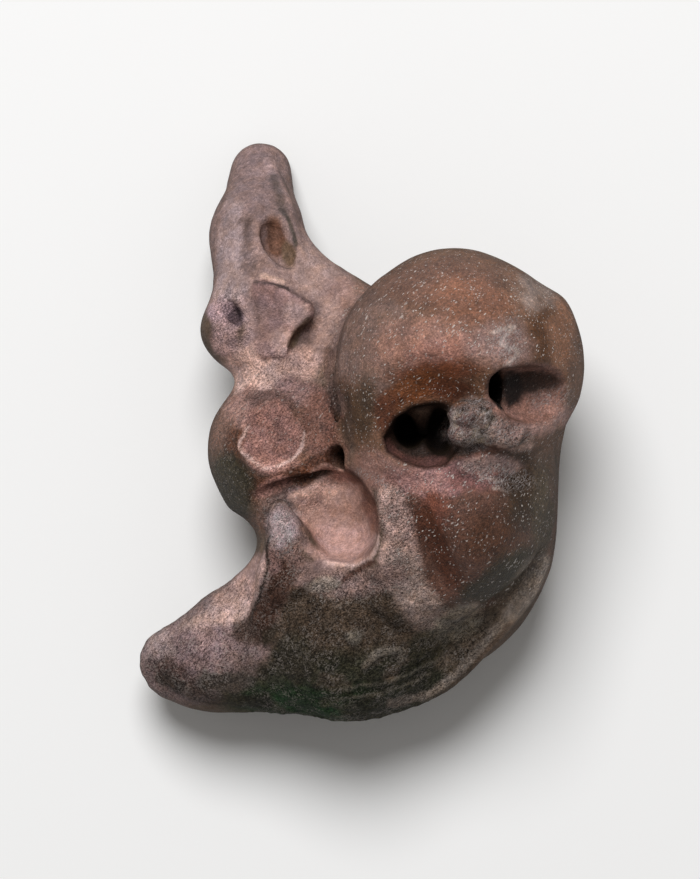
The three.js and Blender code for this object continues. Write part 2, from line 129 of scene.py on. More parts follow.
DOME = (5.9, 3.75, 12.4)
dome = egg(DOME, (7.66, 7.45, 8.2))
dome_crown = egg(off(DOME, -0.2, 5.2, -0.4), (2.8, 1.95, 4.6))
dome_foot = egg(off(DOME, 1.5, -1.5, -6.2), (5.8, 6.0, 5.75))
corner_boss = egg(off(DOME, 6.3, 1.3, -0.4), (1.25, 3.0, 3.2), (0, 0, 4))
corner_knob = egg(off(DOME, 5.75, 3.6, 0.2), (0.9, 0.8, 1.8))
window_wall = egg(off(DOME, -2.0, -4.95, -0.2), (4.5, 4.4, 6.2))
side_flank = taper(off(DOME, -5.5, -0.35, -1.0), 1.9, off(DOME, -4.6, -6.15, 1.0), 2.0)
far_corner = flow(FILLET, corner_boss, corner_knob)
cochlea = flow(SWELL, dome, dome_crown, far_corner, window_wall, side_flank)

# ---------------------------------------------------------------------------------------------
# Lower body: a heavy lobe under the windows, the broad base, and a thin bead round its edge
# with a shallow channel inside it.


def smooth_path(points, steps):
    """Points along a smooth curve through the given ones."""
    points = np.array(points, float)
    padded = np.vstack([2 * points[0] - points[1], points, 2 * points[-1] - points[-2]])
    path = []
    for before, a, b, after in zip(padded, padded[1:], padded[2:], padded[3:]):
        for t in np.arange(steps) / steps:
            bend = (2 * before - 5 * a + 4 * b - after) * t**2
            twist = (3 * a - before - 3 * b + after) * t**3
            path.append(a + ((b - before) * t + bend + twist) / 2)
    return np.array(path + [points[-1]])


def strand(points, thick, ends=0.4, steps=4):
    """A round strand on a smooth curve, thinning towards its ends."""
    path = smooth_path(points, steps)
    last = len(path) - 1

    def form(p):
        nearest = np.full(len(p), np.inf)
        for i in range(last):
            along = path[i + 1] - path[i]
            d = p - path[i]
            t = np.clip(d @ along / (along @ along), 0, 1)
            end = np.abs(2 * (i + t) / last - 1)
            radius = thick * (1 - (1 - ends) * end**2)
            gap = np.sqrt(((d - t[:, None] * along) ** 2).sum(1)) - radius
            nearest = np.minimum(nearest, gap)
        return nearest

    return form


# The broadest fillet, between the main masses.
FLOW = 2.6

LOBE = (5.3, -5.1, 9.8)
BASE = (-0.9, -10.6, 8.0)
lower_lobe = egg(LOBE, (6.5, 6.6, 8.6), (0, 0, -12))
lobe_shoulder = egg(off(LOBE, 4.1, 2.4, 0.2), (2.75, 3.6, 5.2))
skirt = egg(off(LOBE, -2.3, -1.9, -3.4), (8.9, 8.7, 5.75))
base_lobe = egg(BASE, (6.6, 7.62, 5.7))
core = egg(off(BASE, 1.9, 7.1, -0.4), (6.8, 10.4, 6.0))
middle_ridge = taper(off(LOBE, -3.5, 0.9, 7.0), 0.8, off(LOBE, -2.8, -4.4, 3.3), 2.3)
lower_rim = strand(
    [
        off(LOBE, 6.0, -2.6, -0.6),
        off(LOBE, 5.2, -4.4, -0.6),
        off(LOBE, 3.9, -6.1, -0.6),
        off(LOBE, 2.3, -7.9, -0.8),
        off(LOBE, 0.8, -9.6, -1.1),
        off(LOBE, -0.9, -10.95, -1.5),
        off(LOBE, -3.0, -11.8, -1.9),
        off(LOBE, -4.8, -12.35, -2.6),
    ],
    0.85,
    0.5,
)
rim_channel = strand(
    [
        off(LOBE, 5.3, -3.3, 1.3),
        off(LOBE, 4.0, -5.1, 1.9),
        off(LOBE, 2.4, -6.9, 1.7),
        off(LOBE, 0.4, -8.7, 1.2),
    ],
    0.7,
    0.5,
)
trunk = flow(FLOW, core, base_lobe, skirt, flow(SWELL, lower_lobe, lobe_shoulder))

# ---------------------------------------------------------------------------------------------
# Side bulge: a round boss whose top holds the shallow pit for the hammer. The pit's rim stands
# up only on its outer and lower sides, and a shelf of old sediment lies under it.

BULGE = (-4.9, -1.1, 8.2)
side_bulge = egg(BULGE, (4.8, 4.7, 5.0))
bulge_foot = egg(off(BULGE, 0.6, -2.9, -1.2), (3.75, 2.8, 4.4))
bulge_bridge = egg(off(BULGE, 3.5, 1.7, 1.4), (3.0, 3.2, 3.4))
pit_rim = strand(
    [
        off(BULGE, -2.3, 2.1, 4.0),
        off(BULGE, -2.7, 0.5, 4.2),
        off(BULGE, -2.0, -0.7, 4.5),
        off(BULGE, -0.9, -1.25, 4.7),
        off(BULGE, 0.4, -0.9, 4.75),
        off(BULGE, 1.35, 0.1, 4.7),
    ],
    0.28,
)
bulge_crease = strand(
    [
        off(BULGE, -1.8, -3.1, 3.5),
        off(BULGE, -0.8, -2.7, 4.0),
        off(BULGE, 0.4, -2.3, 4.2),
        off(BULGE, 1.6, -1.8, 4.1),
        off(BULGE, 2.8, -1.3, 3.9),
    ],
    0.5,
)
sediment_shelf = egg(off(BULGE, 0.5, -3.2, 3.3), (1.8, 0.7, 0.8), (0, 0, 14))
side = flow(SWELL, side_bulge, bulge_foot, bulge_bridge)

# ---------------------------------------------------------------------------------------------
# Front process: the horn that points forward, a web back to the dome, a knob on its outer side,
# and the small ossicle, a separate chip of bone that rock has glued to it.

FRONT = (-6.1, 7.8, 8.0)
horn_middle = off(FRONT, -0.5, 4.7, -2.3)
horn_root = taper(FRONT, 3.33, horn_middle, 2.66)
horn_tip = taper(horn_middle, 2.62, off(FRONT, -0.32, 8.68, -5.95), 1.92)
horn_edge = strand(
    [
        off(FRONT, 0.2, 9.2, -3.9),
        off(FRONT, 1.0, 6.8, -1.3),
        off(FRONT, 1.5, 4.2, 0.4),
        off(FRONT, 2.4, 2.4, 0.7),
    ],
    0.42,
)
front_web = taper(off(FRONT, 1.7, 1.5, -1.4), 2.6, off(FRONT, 7.1, -2.5, 0.4), 3.1)
side_knob = egg(off(FRONT, -1.95, -1.5, 0.2), (2.0, 1.7, 2.6))
knob_foot = egg(off(FRONT, -1.7, -2.5, -0.2), (1.6, 1.4, 2.4), (0, 0, -30))
neck = egg(off(FRONT, 1.7, -3.6, -0.6), (3.05, 3.0, 3.6))
front = flow(SWELL, horn_root, horn_tip, front_web, flow(FILLET, side_knob, knob_foot), neck)


def slab(corners, level, half, round_edge, slope=(0, 0)):
    """A flat piece with a many-sided outline, its top tipped by slope."""
    corners = [np.array(corner) for corner in corners]
    pairs = list(zip(corners, corners[1:] + corners[:1]))

    def form(p):
        nearest = np.full(len(p), np.inf)
        inside = np.zeros(len(p), bool)
        for a, b in pairs:
            edge = b - a
            d = p[:, :2] - a
            t = np.clip(d @ edge / (edge @ edge), 0, 1)
            nearest = np.minimum(nearest, np.hypot(*(d - t[:, None] * edge).T))
            crosses = (a[1] > p[:, 1]) != (b[1] > p[:, 1])
            rise = edge[1] if edge[1] else 1.0
            inside ^= crosses & (d[:, 0] < edge[0] * d[:, 1] / rise)
        out = round_edge - np.where(inside, nearest, -nearest)
        height = level + (p[:, :2] - corners[0]) @ np.array(slope)
        up = np.abs(p[:, 2] - height) - half + round_edge
        away = np.hypot(np.maximum(out, 0), np.maximum(up, 0))
        return away + np.minimum(np.maximum(out, up), 0) - round_edge

    return form


# The narrowest fillet, at crisp edges.
LIP = 0.4

OSSICLE_CORNERS = [
    (-0.6, 1.5),
    (0.0, 1.65),
    (1.35, 1.1),
    (2.9, 0.2),
    (2.85, -0.5),
    (2.1, -1.4),
    (1.7, -2.0),
    (1.35, -3.1),
    (-0.1, -3.2),
    (-0.8, -2.2),
    (-0.85, 0.0),
]
ossicle_plate = slab(
    [(FRONT[0] + x, FRONT[1] + y) for x, y in OSSICLE_CORNERS],
    FRONT[2] + 2.1,
    1.3,
    0.25,
    (0.22, 0.1),
)
ossicle_knob = egg(off(FRONT, 2.3, -0.3, 3.4), (0.9, 0.8, 0.5), (0, 10, -30))
ossicle = flow(LIP, ossicle_plate, ossicle_knob)

# ---------------------------------------------------------------------------------------------
# Back process: the blunt heel that points back, and the crest between it and the muscle's
# hollow. The crest stands up like a nose, narrow in front and wider behind.

BACK = (-5.4, -13.45, 6.6)
back_horn = taper(BACK, 4.3, off(BACK, -6.37, -1.15, -1.4), 2.25, 1.15)
back_heel = egg(off(BACK, -3.8, -1.6, -0.8), (3.2, 2.45, 3.0))
back_brow = egg(off(BACK, -2.8, 2.15, -0.4), (2.8, 1.35, 3.2), (0, 0, 36))
back_shoulder = egg(off(BACK, 1.35, 3.2, 0.8), (2.05, 2.6, 3.4))
crest_nose = taper(off(BACK, 0.3, 8.6, 6.8), 0.6, off(BACK, 1.2, 4.9, 5.6), 2.1)
crest_edge = taper(off(BACK, 0.1, 4.3, 5.9), 1.2, off(BACK, -0.75, 1.5, 3.9), 0.9)
crest = flow(FILLET, crest_nose, crest_edge)
back = flow(SWELL, back_horn, back_heel, back_brow, back_shoulder)

# ---------------------------------------------------------------------------------------------
# Windows and hollows: two openings into the hearing spiral with rock between them, the muscle's
# hollow, the hammer's pit, the face nerve's hole, and the funnel of the nerves underneath.


def ring(middle, radius, thick, turn=(0, 0, 0)):
    rotation = turned(turn)

    def form(p):
        d = (p - middle) @ rotation
        return np.hypot(np.hypot(d[:, 0], d[:, 1]) - radius, d[:, 2]) - thick

    return form


def carve(lip, body, *hollows):
    def form(p):
        d = body(p)
        for hollow in hollows:
            e = -hollow(p)
            h = np.maximum(lip - np.abs(d - e), 0) / lip
            d = np.maximum(d, e) + h * h * lip / 4
        return d

    return form


WINDOW = (3.6, -0.2, 16.8)
FUNNEL = (4.2, -3.4, 2.7)
TABLE = 0.8
window_dish = egg(off(WINDOW, 0.7, 0.7, 4.9), (4.6, 4.3, 4.1))
window_valley = taper(off(WINDOW, 1.8, -1.5, 5.0), 2.4, off(WINDOW, 9.4, -1.3, 1.4), 2.2)
MOUTH_CORNERS = [
    (-2.2, -0.2),
    (-1.5, 1.0),
    (-0.45, 1.7),
    (0.9, 1.95),
    (2.3, 1.8),
    (2.45, -0.7),
    (1.55, -1.85),
    (0.3, -2.0),
    (-0.95, -1.65),
    (-1.95, -1.0),
]
mouth_cut = slab(
    [(WINDOW[0] + x, WINDOW[1] + y) for x, y in MOUTH_CORNERS],
    WINDOW[2] + 2.0,
    4.0,
    0.3,
)
mouth_bowl = egg(off(WINDOW, 0.1, 0, 1.5), (2.65, 2.25, 2.9))


def window_mouth(p):
    return np.maximum(mouth_cut(p), mouth_bowl(p))


window_void = egg(off(WINDOW, -0.65, 0.25, -1.6), (0.9, 1.1, 3.4), (0, 0, 20))
window_chamber = egg(off(WINDOW, 1.2, 0.2, -1.2), (0.95, 1.45, 2.8))
round_window = flow(LIP, window_mouth, window_void, window_chamber)
window_tongue = taper(off(WINDOW, 0.0, 2.0, -0.6), 0.85, off(WINDOW, 0.15, 0.35, -2.2), 0.3)

duct_hole = egg(off(DOME, 2.55, -1.2, 6.1), (0.6, 1.25, 3.6), (0, 20, 6))
duct_groove = egg(off(DOME, 5.1, -1.45, 6.0), (3.7, 1.5, 2.3), (-34, 32, 0))
duct_brow = egg(off(DOME, 4.4, -0.8, 5.9), (2.6, 0.85, 1.4), (0, 34, -4))
duct = flow(FILLET, duct_groove, duct_brow)

lobe_valley = taper(off(LOBE, -2.0, 0.6, 8.6), 1.1, off(LOBE, -0.8, -4.6, 7.2), 1.6)
back_bay = taper(off(BULGE, -3.25, -5.8, 8.0), 1.5, off(BULGE, -3.25, -5.8, -10.0), 1.5)
back_face = egg(off(BACK, -2.4, 3.2, 5.5), (2.0, 2.9, 3.6), (0, 18, -38))
hammer_pit = egg(off(BULGE, -0.7, 1.3, 5.4), (2.05, 2.4, 1.35), (-6, 8, 0))
muscle_bowl = egg(off(BULGE, 3.45, -4.55, 6.9), (2.6, 2.75, 3.9), (0, 0, 8))
bowl_mouth = egg(off(BULGE, 1.7, -3.7, 5.9), (2.1, 1.0, 2.3), (0, -6, -40))
bowl_top = egg(off(BULGE, 3.2, -2.4, 6.1), (1.8, 1.3, 2.8), (0, 0, -20))
muscle_hollow = flow(FILLET, muscle_bowl, bowl_mouth, bowl_top)
facial_hole = taper(off(BULGE, 3.5, -0.5, 5.0), 0.7, off(BULGE, 5.0, -0.6, 1.3), 0.7)
side_cleft = strand(
    [
        off(BULGE, 2.9, 6.4, 3.6),
        off(BULGE, 3.2, 4.4, 4.6),
        off(BULGE, 3.6, 2.6, 4.9),
        off(BULGE, 3.95, 0.8, 4.6),
        off(BULGE, 4.1, -0.8, 4.0),
    ],
    0.5,
)
horn_recess = egg(off(FRONT, 0.95, 4.0, 1.3), (0.95, 1.8, 1.3), (-33, 22, 20))
front_dip = egg(off(FRONT, 3.0, -2.3, 5.1), (1.5, 2.2, 2.6), (0, 0, -10))
knob_dent = egg(off(FRONT, -2.0, -0.35, 2.9), (0.55, 0.75, 0.8), (0, 0, 20))
fleck_groove = taper(off(FRONT, -0.9, 4.8, 1.75), 0.25, off(FRONT, -0.9, 1.6, 3.35), 0.3)

rock_crown = egg(off(WINDOW, 2.75, 1.25, 1.9), (1.05, 0.85, 1.1))
rock_lump = egg(off(WINDOW, 2.7, 0.0, 1.5), (1.05, 0.85, 1.1))
rock_tail = egg(off(WINDOW, 4.5, 0.2, 1.2), (2.0, 1.0, 0.9), (0, 14, -12))
rock_back = egg(off(WINDOW, 4.0, 1.0, 1.7), (1.3, 1.15, 1.0))
rock = flow(LIP, rock_crown, rock_lump, rock_tail, rock_back)

funnel_rim = ring(FUNNEL, 3.6, 1.5)
nerve_funnel = egg(off(FUNNEL, 0, 0, -2.5), (3.5, 2.8, 4.6), (0, 0, 35))
hearing_pit = taper(off(FUNNEL, 1.2, 0.8, 0.9), 1.3, off(FUNNEL, 1.8, 1.6, 4.7), 0.6)
face_nerve_pit = taper(off(FUNNEL, -1.4, -1.2, 0.7), 1.0, off(FUNNEL, -2.0, -1.8, 4.5), 0.5)
duct_slit = egg(off(FUNNEL, -3.4, -6.0, -1.9), (1.7, 0.6, 1.8), (0, 0, 20))


def table_top(p):
    return p[:, 2] - TABLE


body = flow(FLOW, flow(SWELL, trunk, side, front, back), dome_foot)
whole = flow(FILLET, body, cochlea, lower_rim, middle_ridge, horn_edge, funnel_rim)
valleyed = carve(SWELL, whole, lobe_valley, window_dish, rim_channel)
hollowed = carve(
    FILLET, valleyed, back_bay, back_face, window_valley, hammer_pit, front_dip, nerve_funnel
)
creased = carve(LIP, hollowed, muscle_hollow, bulge_crease, horn_recess, fleck_groove, knob_dent)
rimmed = flow(LIP, creased, crest, pit_rim, sediment_shelf)
opened = carve(LIP, rimmed, round_window, duct, duct_hole, facial_hole, side_cleft)
drilled = carve(LIP, opened, hearing_pit, face_nerve_pit, duct_slit)
dressed = flow(LIP, drilled, rock, window_tongue, ossicle)
bone = carve(LIP / 2, dressed, table_top)

# ---------------------------------------------------------------------------------------------
# The bone's skin: the form above, drawn as one closed mesh with a point in every small cell that
# the surface passes through.

CELL = 0.2
COARSE = 5
LOW = np.array([-15.4, -19.6, -0.6])
HIGH = np.array([15.4, 19.6, 22.0])

# Fine cells lie within this many coarse ones of the surface, and are worked out in batches.
MARGIN = 1.6
BATCH = 400000


def band_values(form):
    """The form on a fine grid. Far from the surface a coarse grid gives the sign."""
    shape = np.ceil((HIGH - LOW) / CELL / COARSE).astype(int) * COARSE + 1
    coarse_axes = [LOW[k] + CELL * np.arange(0, shape[k], COARSE) for k in range(3)]
    coarse = np.stack(np.meshgrid(*coarse_axes, indexing="ij"), -1)
    coarse_value = form(coarse.reshape(-1, 3)).reshape(coarse.shape[:3])
    near = np.abs(coarse_value) < CELL * COARSE * MARGIN
    for axis in range(3):
        near = near | np.roll(near, 1, axis) | np.roll(near, -1, axis)
    value = np.repeat(np.repeat(np.repeat(coarse_value, COARSE, 0), COARSE, 1), COARSE, 2)
    value = value[: shape[0], : shape[1], : shape[2]].copy()
    fine = np.repeat(np.repeat(np.repeat(near, COARSE, 0), COARSE, 1), COARSE, 2)
    where = np.argwhere(fine[: shape[0], : shape[1], : shape[2]])
    for start in range(0, len(where), BATCH):
        part = where[start : start + BATCH]
        value[tuple(part.T)] = form(LOW + part * CELL)
    return value


def cut_edges(value):
    """The grid edges that the surface cuts: axis, first corners, how far along, and which way."""
    inside = value < 0
    for axis in range(3):
        first = [slice(None)] * 3
        second = [slice(None)] * 3
        first[axis] = slice(None, -1)
        second[axis] = slice(1, None)
        corner = np.argwhere(inside[tuple(first)] != inside[tuple(second)])
        step = np.eye(3, dtype=int)[axis]
        a = value[tuple(corner.T)]
        b = value[tuple((corner + step).T)]
        yield axis, corner, a / (a - b), inside[tuple(corner.T)]


def draw_skin(form):
    value = band_values(form)
    size = np.array(value.shape)
    total = np.zeros((value.size, 3), np.float32)
    count = np.zeros(value.size, np.int32)
    faces = []
    strides = np.array([size[1] * size[2], size[2], 1])
    for axis, corner, part, inward in cut_edges(value):
        u, v = (axis + 1) % 3, (axis + 2) % 3
        crossing = corner + part[:, None] * np.eye(3)[axis]
        cell = corner @ strides
        around = [cell - strides[u] - strides[v], cell - strides[v], cell, cell - strides[u]]
        for place in around:
            np.add.at(total, place, crossing.astype(np.float32))
            np.add.at(count, place, 1)
        quad = np.stack(around, 1)
        quad[~inward] = quad[~inward][:, ::-1]
        faces.append(quad)
    used = np.flatnonzero(count)
    number = np.full(value.size, -1)
    number[used] = np.arange(len(used))
    points = LOW + total[used] / count[used, None] * CELL
    return points, number[np.concatenate(faces)]


PROBE = 0.01
FLATTEST = 0.05
CORNERS = np.array([[1, -1, -1], [-1, -1, 1], [-1, 1, -1], [1, 1, 1]])


def slope_of(form, p):
    """The direction in which the form rises, at each point."""
    rise = sum(corner * form(p + corner * PROBE)[:, None] for corner in CORNERS)
    return rise / (4 * PROBE)


def settle(form, p, rounds=2):
    """The points moved onto the surface."""
    for _ in range(rounds):
        slope = slope_of(form, p)
        depth = np.clip(form(p), -CELL, CELL)
        p = p - slope * (depth / np.maximum((slope**2).sum(1), FLATTEST))[:, None]
    return p


def even_out(form, p, quads, rounds):
    """Points moved half way to the middle of their neighbours, then back onto the surface."""
    for _ in range(rounds):
        total = np.zeros_like(p)
        count = np.zeros(len(p))
        for corner in range(4):
            np.add.at(total, quads[:, corner], p[quads[:, (corner + 1) % 4]])
            np.add.at(count, quads[:, corner], 1)
        p = settle(form, (p + total / count[:, None]) / 2, 1)
    return p


points, quads = draw_skin(bone)
points = even_out(bone, settle(bone, points), quads, 2)

# ---------------------------------------------------------------------------------------------
# Stains, crusts and wear, and painted light and shade. Minerals in the ground dyed each part of
# the bone its own colour and left crusts on it; painted shade, shadows and highlights are laid on
# the same way. A patch is 1 on its spot and fades to 0, with an uneven edge.


def hashed(cell, seed):
    """A number from 0 to 1 for each whole-numbered cell, the same in every run."""
    mix = cell.astype(np.int64) @ np.array([73856093, 19349663, 83492791]) + seed * 40503
    for shift, factor in ((13, 1274126177), (16, 2246822519), (15, 3266489917)):
        mix = ((mix ^ (mix >> shift)) * factor) & 0xFFFFFFFF
    return mix / 0xFFFFFFFF


def lumps(p, size, seed):
    """Soft random swells of about one size, from -1 to 1."""
    q = p / size + seed * 0.37
    cell = np.floor(q)
    t = q - cell
    t = t * t * t * (t * (t * 6 - 15) + 10)
    total = 0
    for corner in np.ndindex(2, 2, 2):
        total = total + np.prod(np.where(corner, t, 1 - t), axis=1) * hashed(cell + corner, seed)
    return 2 * total - 1


def crumbs(p, size, seed):
    """Lumps with smaller lumps on them."""
    swell = lumps(p, size, seed) + lumps(p, size / 2, seed + 1) / 2
    return (swell + lumps(p, size / 4, seed + 2) / 4) / 1.4


def pits(p, size, seed, depth):
    """Small round dents, one to each cell of the given size, of random depth."""
    q = p / size
    cell = np.floor(q)
    deepest = np.zeros(len(p))
    for corner in np.ndindex(3, 3, 3):
        home = cell + corner - 1
        place = home + 0.2 + 0.6 * np.stack([hashed(home, seed + k) for k in range(3)], 1)
        away = np.sqrt(((q - place) ** 2).sum(1)) / 0.45
        dent = np.maximum(1 - away**2, 0) ** 2 * hashed(home, seed + 3)
        deepest = np.maximum(deepest, dent)
    return -deepest * depth


def fade(x):
    x = np.clip(x, 0, 1)
    return x * x * (3 - 2 * x)


slope = slope_of(bone, points)
facing = slope / np.linalg.norm(slope, axis=1)[:, None]

# How far the edges of the patches stray, in millimetres.
EDGE_STRAY = 0.4
wander = EDGE_STRAY * np.stack(
    [crumbs(points, 1.3, seed) + crumbs(points, 0.5, seed + 3) / 2 for seed in (11, 21)], 1
)


def spot(place, x, y, wide, tall, turn=0, soft=0.6):
    """1 inside an oval seen from above, x and y from a place, fading to 0 over its uneven edge."""
    away = points[:, :2] + wander * min(wide, tall, 1.0) - (place[0] + x, place[1] + y)
    away = away @ turned((0, 0, turn))[:2, :2] / (wide, tall)
    return fade((1 + soft / 2 - np.hypot(*away.T)) / soft)


def streak(place, path, wide, soft=0.8, stray=0.25):
    """1 along a curved line seen from above, fading to 0 beside it."""
    path = smooth_path([(place[0] + x, place[1] + y) for x, y in path], 4)
    nearest = np.full(len(points), np.inf)
    for start, end in zip(path, path[1:]):
        along = end - start
        d = points[:, :2] + wander * stray - start
        t = np.clip(d @ along / (along @ along), 0, 1)
        nearest = np.minimum(nearest, np.hypot(*(d - t[:, None] * along).T))
    return fade((1 + soft / 2 - nearest / wide) / soft)


def dye(code):
    """A colour code for screens, as the amounts of red, green and blue light."""
    screen = np.array([int(code[k : k + 2], 16) for k in (0, 2, 4)]) / 255
    return np.where(screen > 0.04, ((screen + 0.055) / 1.055) ** 2.4, screen / 12.92)


def stain_or_painted_light(tint, amount):
    """Tint the skin by each point's amount, with stains and painted light and shade alike."""
    colour[:] += (dye(tint) - colour) * np.clip(amount, 0, 1)[:, None]


def blotches(size, seed, level, soft):
    """1 where crumbs rise over a level, fading to 0 below it."""
    return fade((crumbs(points, size, seed) - level) / soft)


upward = fade((facing[:, 2] + 0.35) / 0.5)
past_web = fade((points[:, 1] - 3.6 + 0.35 * points[:, 0]) / 1.2)
on_front = spot(FRONT, 0.4, 2.4, 5.4, 8.8, 0, 0.2) * past_web
on_dome = spot(DOME, 0.3, 0.2, 8.2, 8.0, 0, 0.12)
on_lobe = spot(LOBE, 2.0, -0.6, 5.6, 5.6, -20, 0.25)
on_bulge = spot(BULGE, -0.6, 0.0, 4.6, 5.2, 0, 0.2)
on_back = spot(BACK, -4.7, 0.4, 5.2, 3.9, 20, 0.25)
on_crest = np.maximum(
    spot(BACK, 0.65, 6.7, 1.3, 3.0, 12, 0.35),
    streak(BACK, [(0.4, 5.4), (-0.2, 3.6), (-0.9, 1.8)], 1.0),
)
by_hollow = fade((0.30 - np.abs(muscle_hollow(points))) / 0.2)
in_hollow = by_hollow * fade((0.5 + crest(points)) / 0.3)
RIDGE_LINE = [(-3.5, 0.9), (-2.9, -1.2), (-2.7, -3.4), (-2.2, -4.8), (-1.0, -6.4), (0.6, -7.4)]
on_ridge = streak(LOBE, RIDGE_LINE, 1.2)
on_rock = np.maximum(
    spot(WINDOW, 3.2, 0.6, 1.7, 1.6, 0, 0.25),
    spot(WINDOW, 5.2, 0.1, 1.9, 0.7, -8, 0.4),
)

# How far out of an opening its colour reaches, painted shade included.
SPILL = 0.25
in_window = np.clip((SPILL - round_window(points)) / SPILL, 0, 1) * (1 - on_rock)
in_duct = np.clip((SPILL - np.minimum(duct(points), duct_hole(points))) / SPILL, 0, 1)

colour = np.tile(dye("665549"), (len(points), 1))
stain_or_painted_light("8e7671", on_front)
stain_or_painted_light("70513f", on_dome)
stain_or_painted_light("5d4035", on_lobe)
stain_or_painted_light("6e5043", on_bulge)
stain_or_painted_light("8b7472", on_back)

# The front process: a grey-rose face, a flecked groove, an amber recess, the web.
stain_or_painted_light("a28c8a", spot(FRONT, -2.1, 3.0, 1.0, 4.2, -4))
stain_or_painted_light("8a7472", spot(FRONT, -0.5, 8.2, 1.6, 2.6))
stain_or_painted_light(
    "75625f",
    streak(FRONT, [(-1.2, 5.6), (-1.0, 4.0), (-0.9, 2.4)], 0.45) * blotches(0.5, 101, -0.2, 0.4),
)
stain_or_painted_light("947b76", streak(FRONT, [(0.0, 5.2), (-0.1, 3.4), (0.2, 2.2)], 0.45))
stain_or_painted_light("a58a83", spot(FRONT, 3.2, 2.4, 1.6, 2.2, 30))
stain_or_painted_light("987a72", spot(FRONT, 5.2, 0.4, 1.7, 1.2, -30))
stain_or_painted_light("ad8f86", spot(FRONT, 3.9, -1.2, 0.9, 1.7, -10))
stain_or_painted_light("a88d86", spot(DOME, -6.9, 1.6, 0.9, 1.9, 0, 0.9))
stain_or_painted_light("6f5042", spot(FRONT, 0.6, 4.4, 0.6, 1.3, 12, 0.5))
stain_or_painted_light("6f5a4a", spot(FRONT, 1.45, 3.4, 0.4, 0.9, 12, 0.5))
stain_or_painted_light("514741", streak(FRONT, [(1.1, 6.2), (1.6, 5.2), (1.9, 4.0)], 0.16))
stain_or_painted_light("574c49", streak(FRONT, [(0.5, 8.3), (0.9, 7.2), (1.2, 6.1)], 0.28, 1.4) * 0.8)
stain_or_painted_light("c0a094", streak(FRONT, [(-0.1, 2.0), (0.5, 1.75), (1.1, 1.5)], 0.18))

# Pale tan sediment below the ossicle, a purple side knob, and the ossicle with a painted
# shadow under its lower right edge.
stain_or_painted_light("d2afa5", spot(FRONT, -0.5, -4.0, 2.3, 1.7, -14))
stain_or_painted_light("b3938a", spot(FRONT, 2.2, -3.4, 1.5, 1.2, -10))
stain_or_painted_light("b3969a", spot(FRONT, -2.6, -0.4, 0.9, 0.9))
stain_or_painted_light("6f5d64", spot(FRONT, -1.75, -0.6, 0.5, 0.8))
stain_or_painted_light("aa8b88", spot(FRONT, -2.5, -2.2, 0.9, 1.1))
stain_or_painted_light("a88c88", streak(FRONT, [(-1.2, 0.4), (-0.9, -1.0), (-1.1, -2.2)], 0.35))
on_ossicle = np.clip((0.2 - np.abs(ossicle(points))) / 0.2, 0, 1) * upward
stain_or_painted_light("997b78", on_ossicle)
stain_or_painted_light("836866", on_ossicle * spot(FRONT, 0.0, 0.9, 1.0, 0.9))
stain_or_painted_light("b39590", on_ossicle * spot(FRONT, 2.1, -0.5, 0.8, 0.9))
stain_or_painted_light("b0918a", on_ossicle * spot(FRONT, 1.1, -2.2, 0.9, 0.8))
stain_or_painted_light(
    "3f3434",
    streak(FRONT, [(-0.6, 1.6), (1.3, 1.2), (2.9, 0.2)], 0.10)
    * (0.4 + 0.5 * blotches(0.6, 111, -0.1, 0.2)),
)
# A painted shadow under the ossicle's lower right edge.
stain_or_painted_light("5e4d3c", streak(FRONT, [(2.8, -0.8), (2.1, -1.5), (1.6, -2.4)], 0.22) * 0.8)

# The bulge: brown sides, darker low down, and a rose-tan dish with a pale rim line.
stain_or_painted_light("96736a", spot(BULGE, -2.2, 2.7, 1.4, 1.2, 30))
stain_or_painted_light("7d615d", spot(BULGE, 0.9, 3.6, 1.8, 0.8, -10))
stain_or_painted_light("69514c", spot(BULGE, -0.9, 2.9, 1.5, 0.8, -8))
stain_or_painted_light("966e66", spot(BULGE, -0.8, 0.8, 1.9, 1.9, 0, 0.4))
stain_or_painted_light("68473d", spot(BULGE, 2.3, 1.4, 1.1, 2.4, 8))
stain_or_painted_light("9d766d", streak(BULGE, [(-1.8, -0.9), (-0.6, -1.3), (0.6, -1.1)], 0.45))
stain_or_painted_light(
    "573423",
    streak(BULGE, [(-3.0, 0.8), (-3.1, -0.8), (-2.4, -2.0), (-0.8, -2.3), (1.6, -1.4)], 0.55),
)
stain_or_painted_light("a0746a", spot(BULGE, -0.7, -2.3, 1.2, 0.5, 20))
stain_or_painted_light("4e2f22", spot(BULGE, 2.3, -0.9, 0.9, 0.6, 10))
stain_or_painted_light("342c1c", spot(BULGE, -3.2, -2.3, 1.3, 2.5, 25))
stain_or_painted_light(
    "bb9c94",
    streak(
        BULGE,
        [(-2.3, 1.4), (-2.7, 0.2), (-1.9, -0.8), (-1.1, -1.2), (0.2, -0.9), (1.1, 0.0), (1.3, 1.0)],
        0.09,
    ),
)
stain_or_painted_light("856a67", spot(BULGE, 0.6, -3.1, 1.7, 0.7, 16))
stain_or_painted_light("b39791", streak(BULGE, [(0.2, -3.7), (1.2, -3.5), (1.9, -2.9)], 0.10))

# The dome: grey-brown to the left, amber on its brow and crown, and rose in its middle, partly
# a painted reflection.
stain_or_painted_light("745b51", spot(DOME, -5.0, 1.7, 2.2, 4.0, 0, 0.9))
stain_or_painted_light("684a3d", spot(DOME, -1.2, 5.4, 4.0, 1.6, 0, 0.8))
stain_or_painted_light("7c5543", spot(DOME, 0.9, 4.3, 2.4, 1.5, -12, 0.9))
stain_or_painted_light("8f7a70", spot(DOME, 5.2, 4.6, 1.6, 1.0, -50, 0.8))
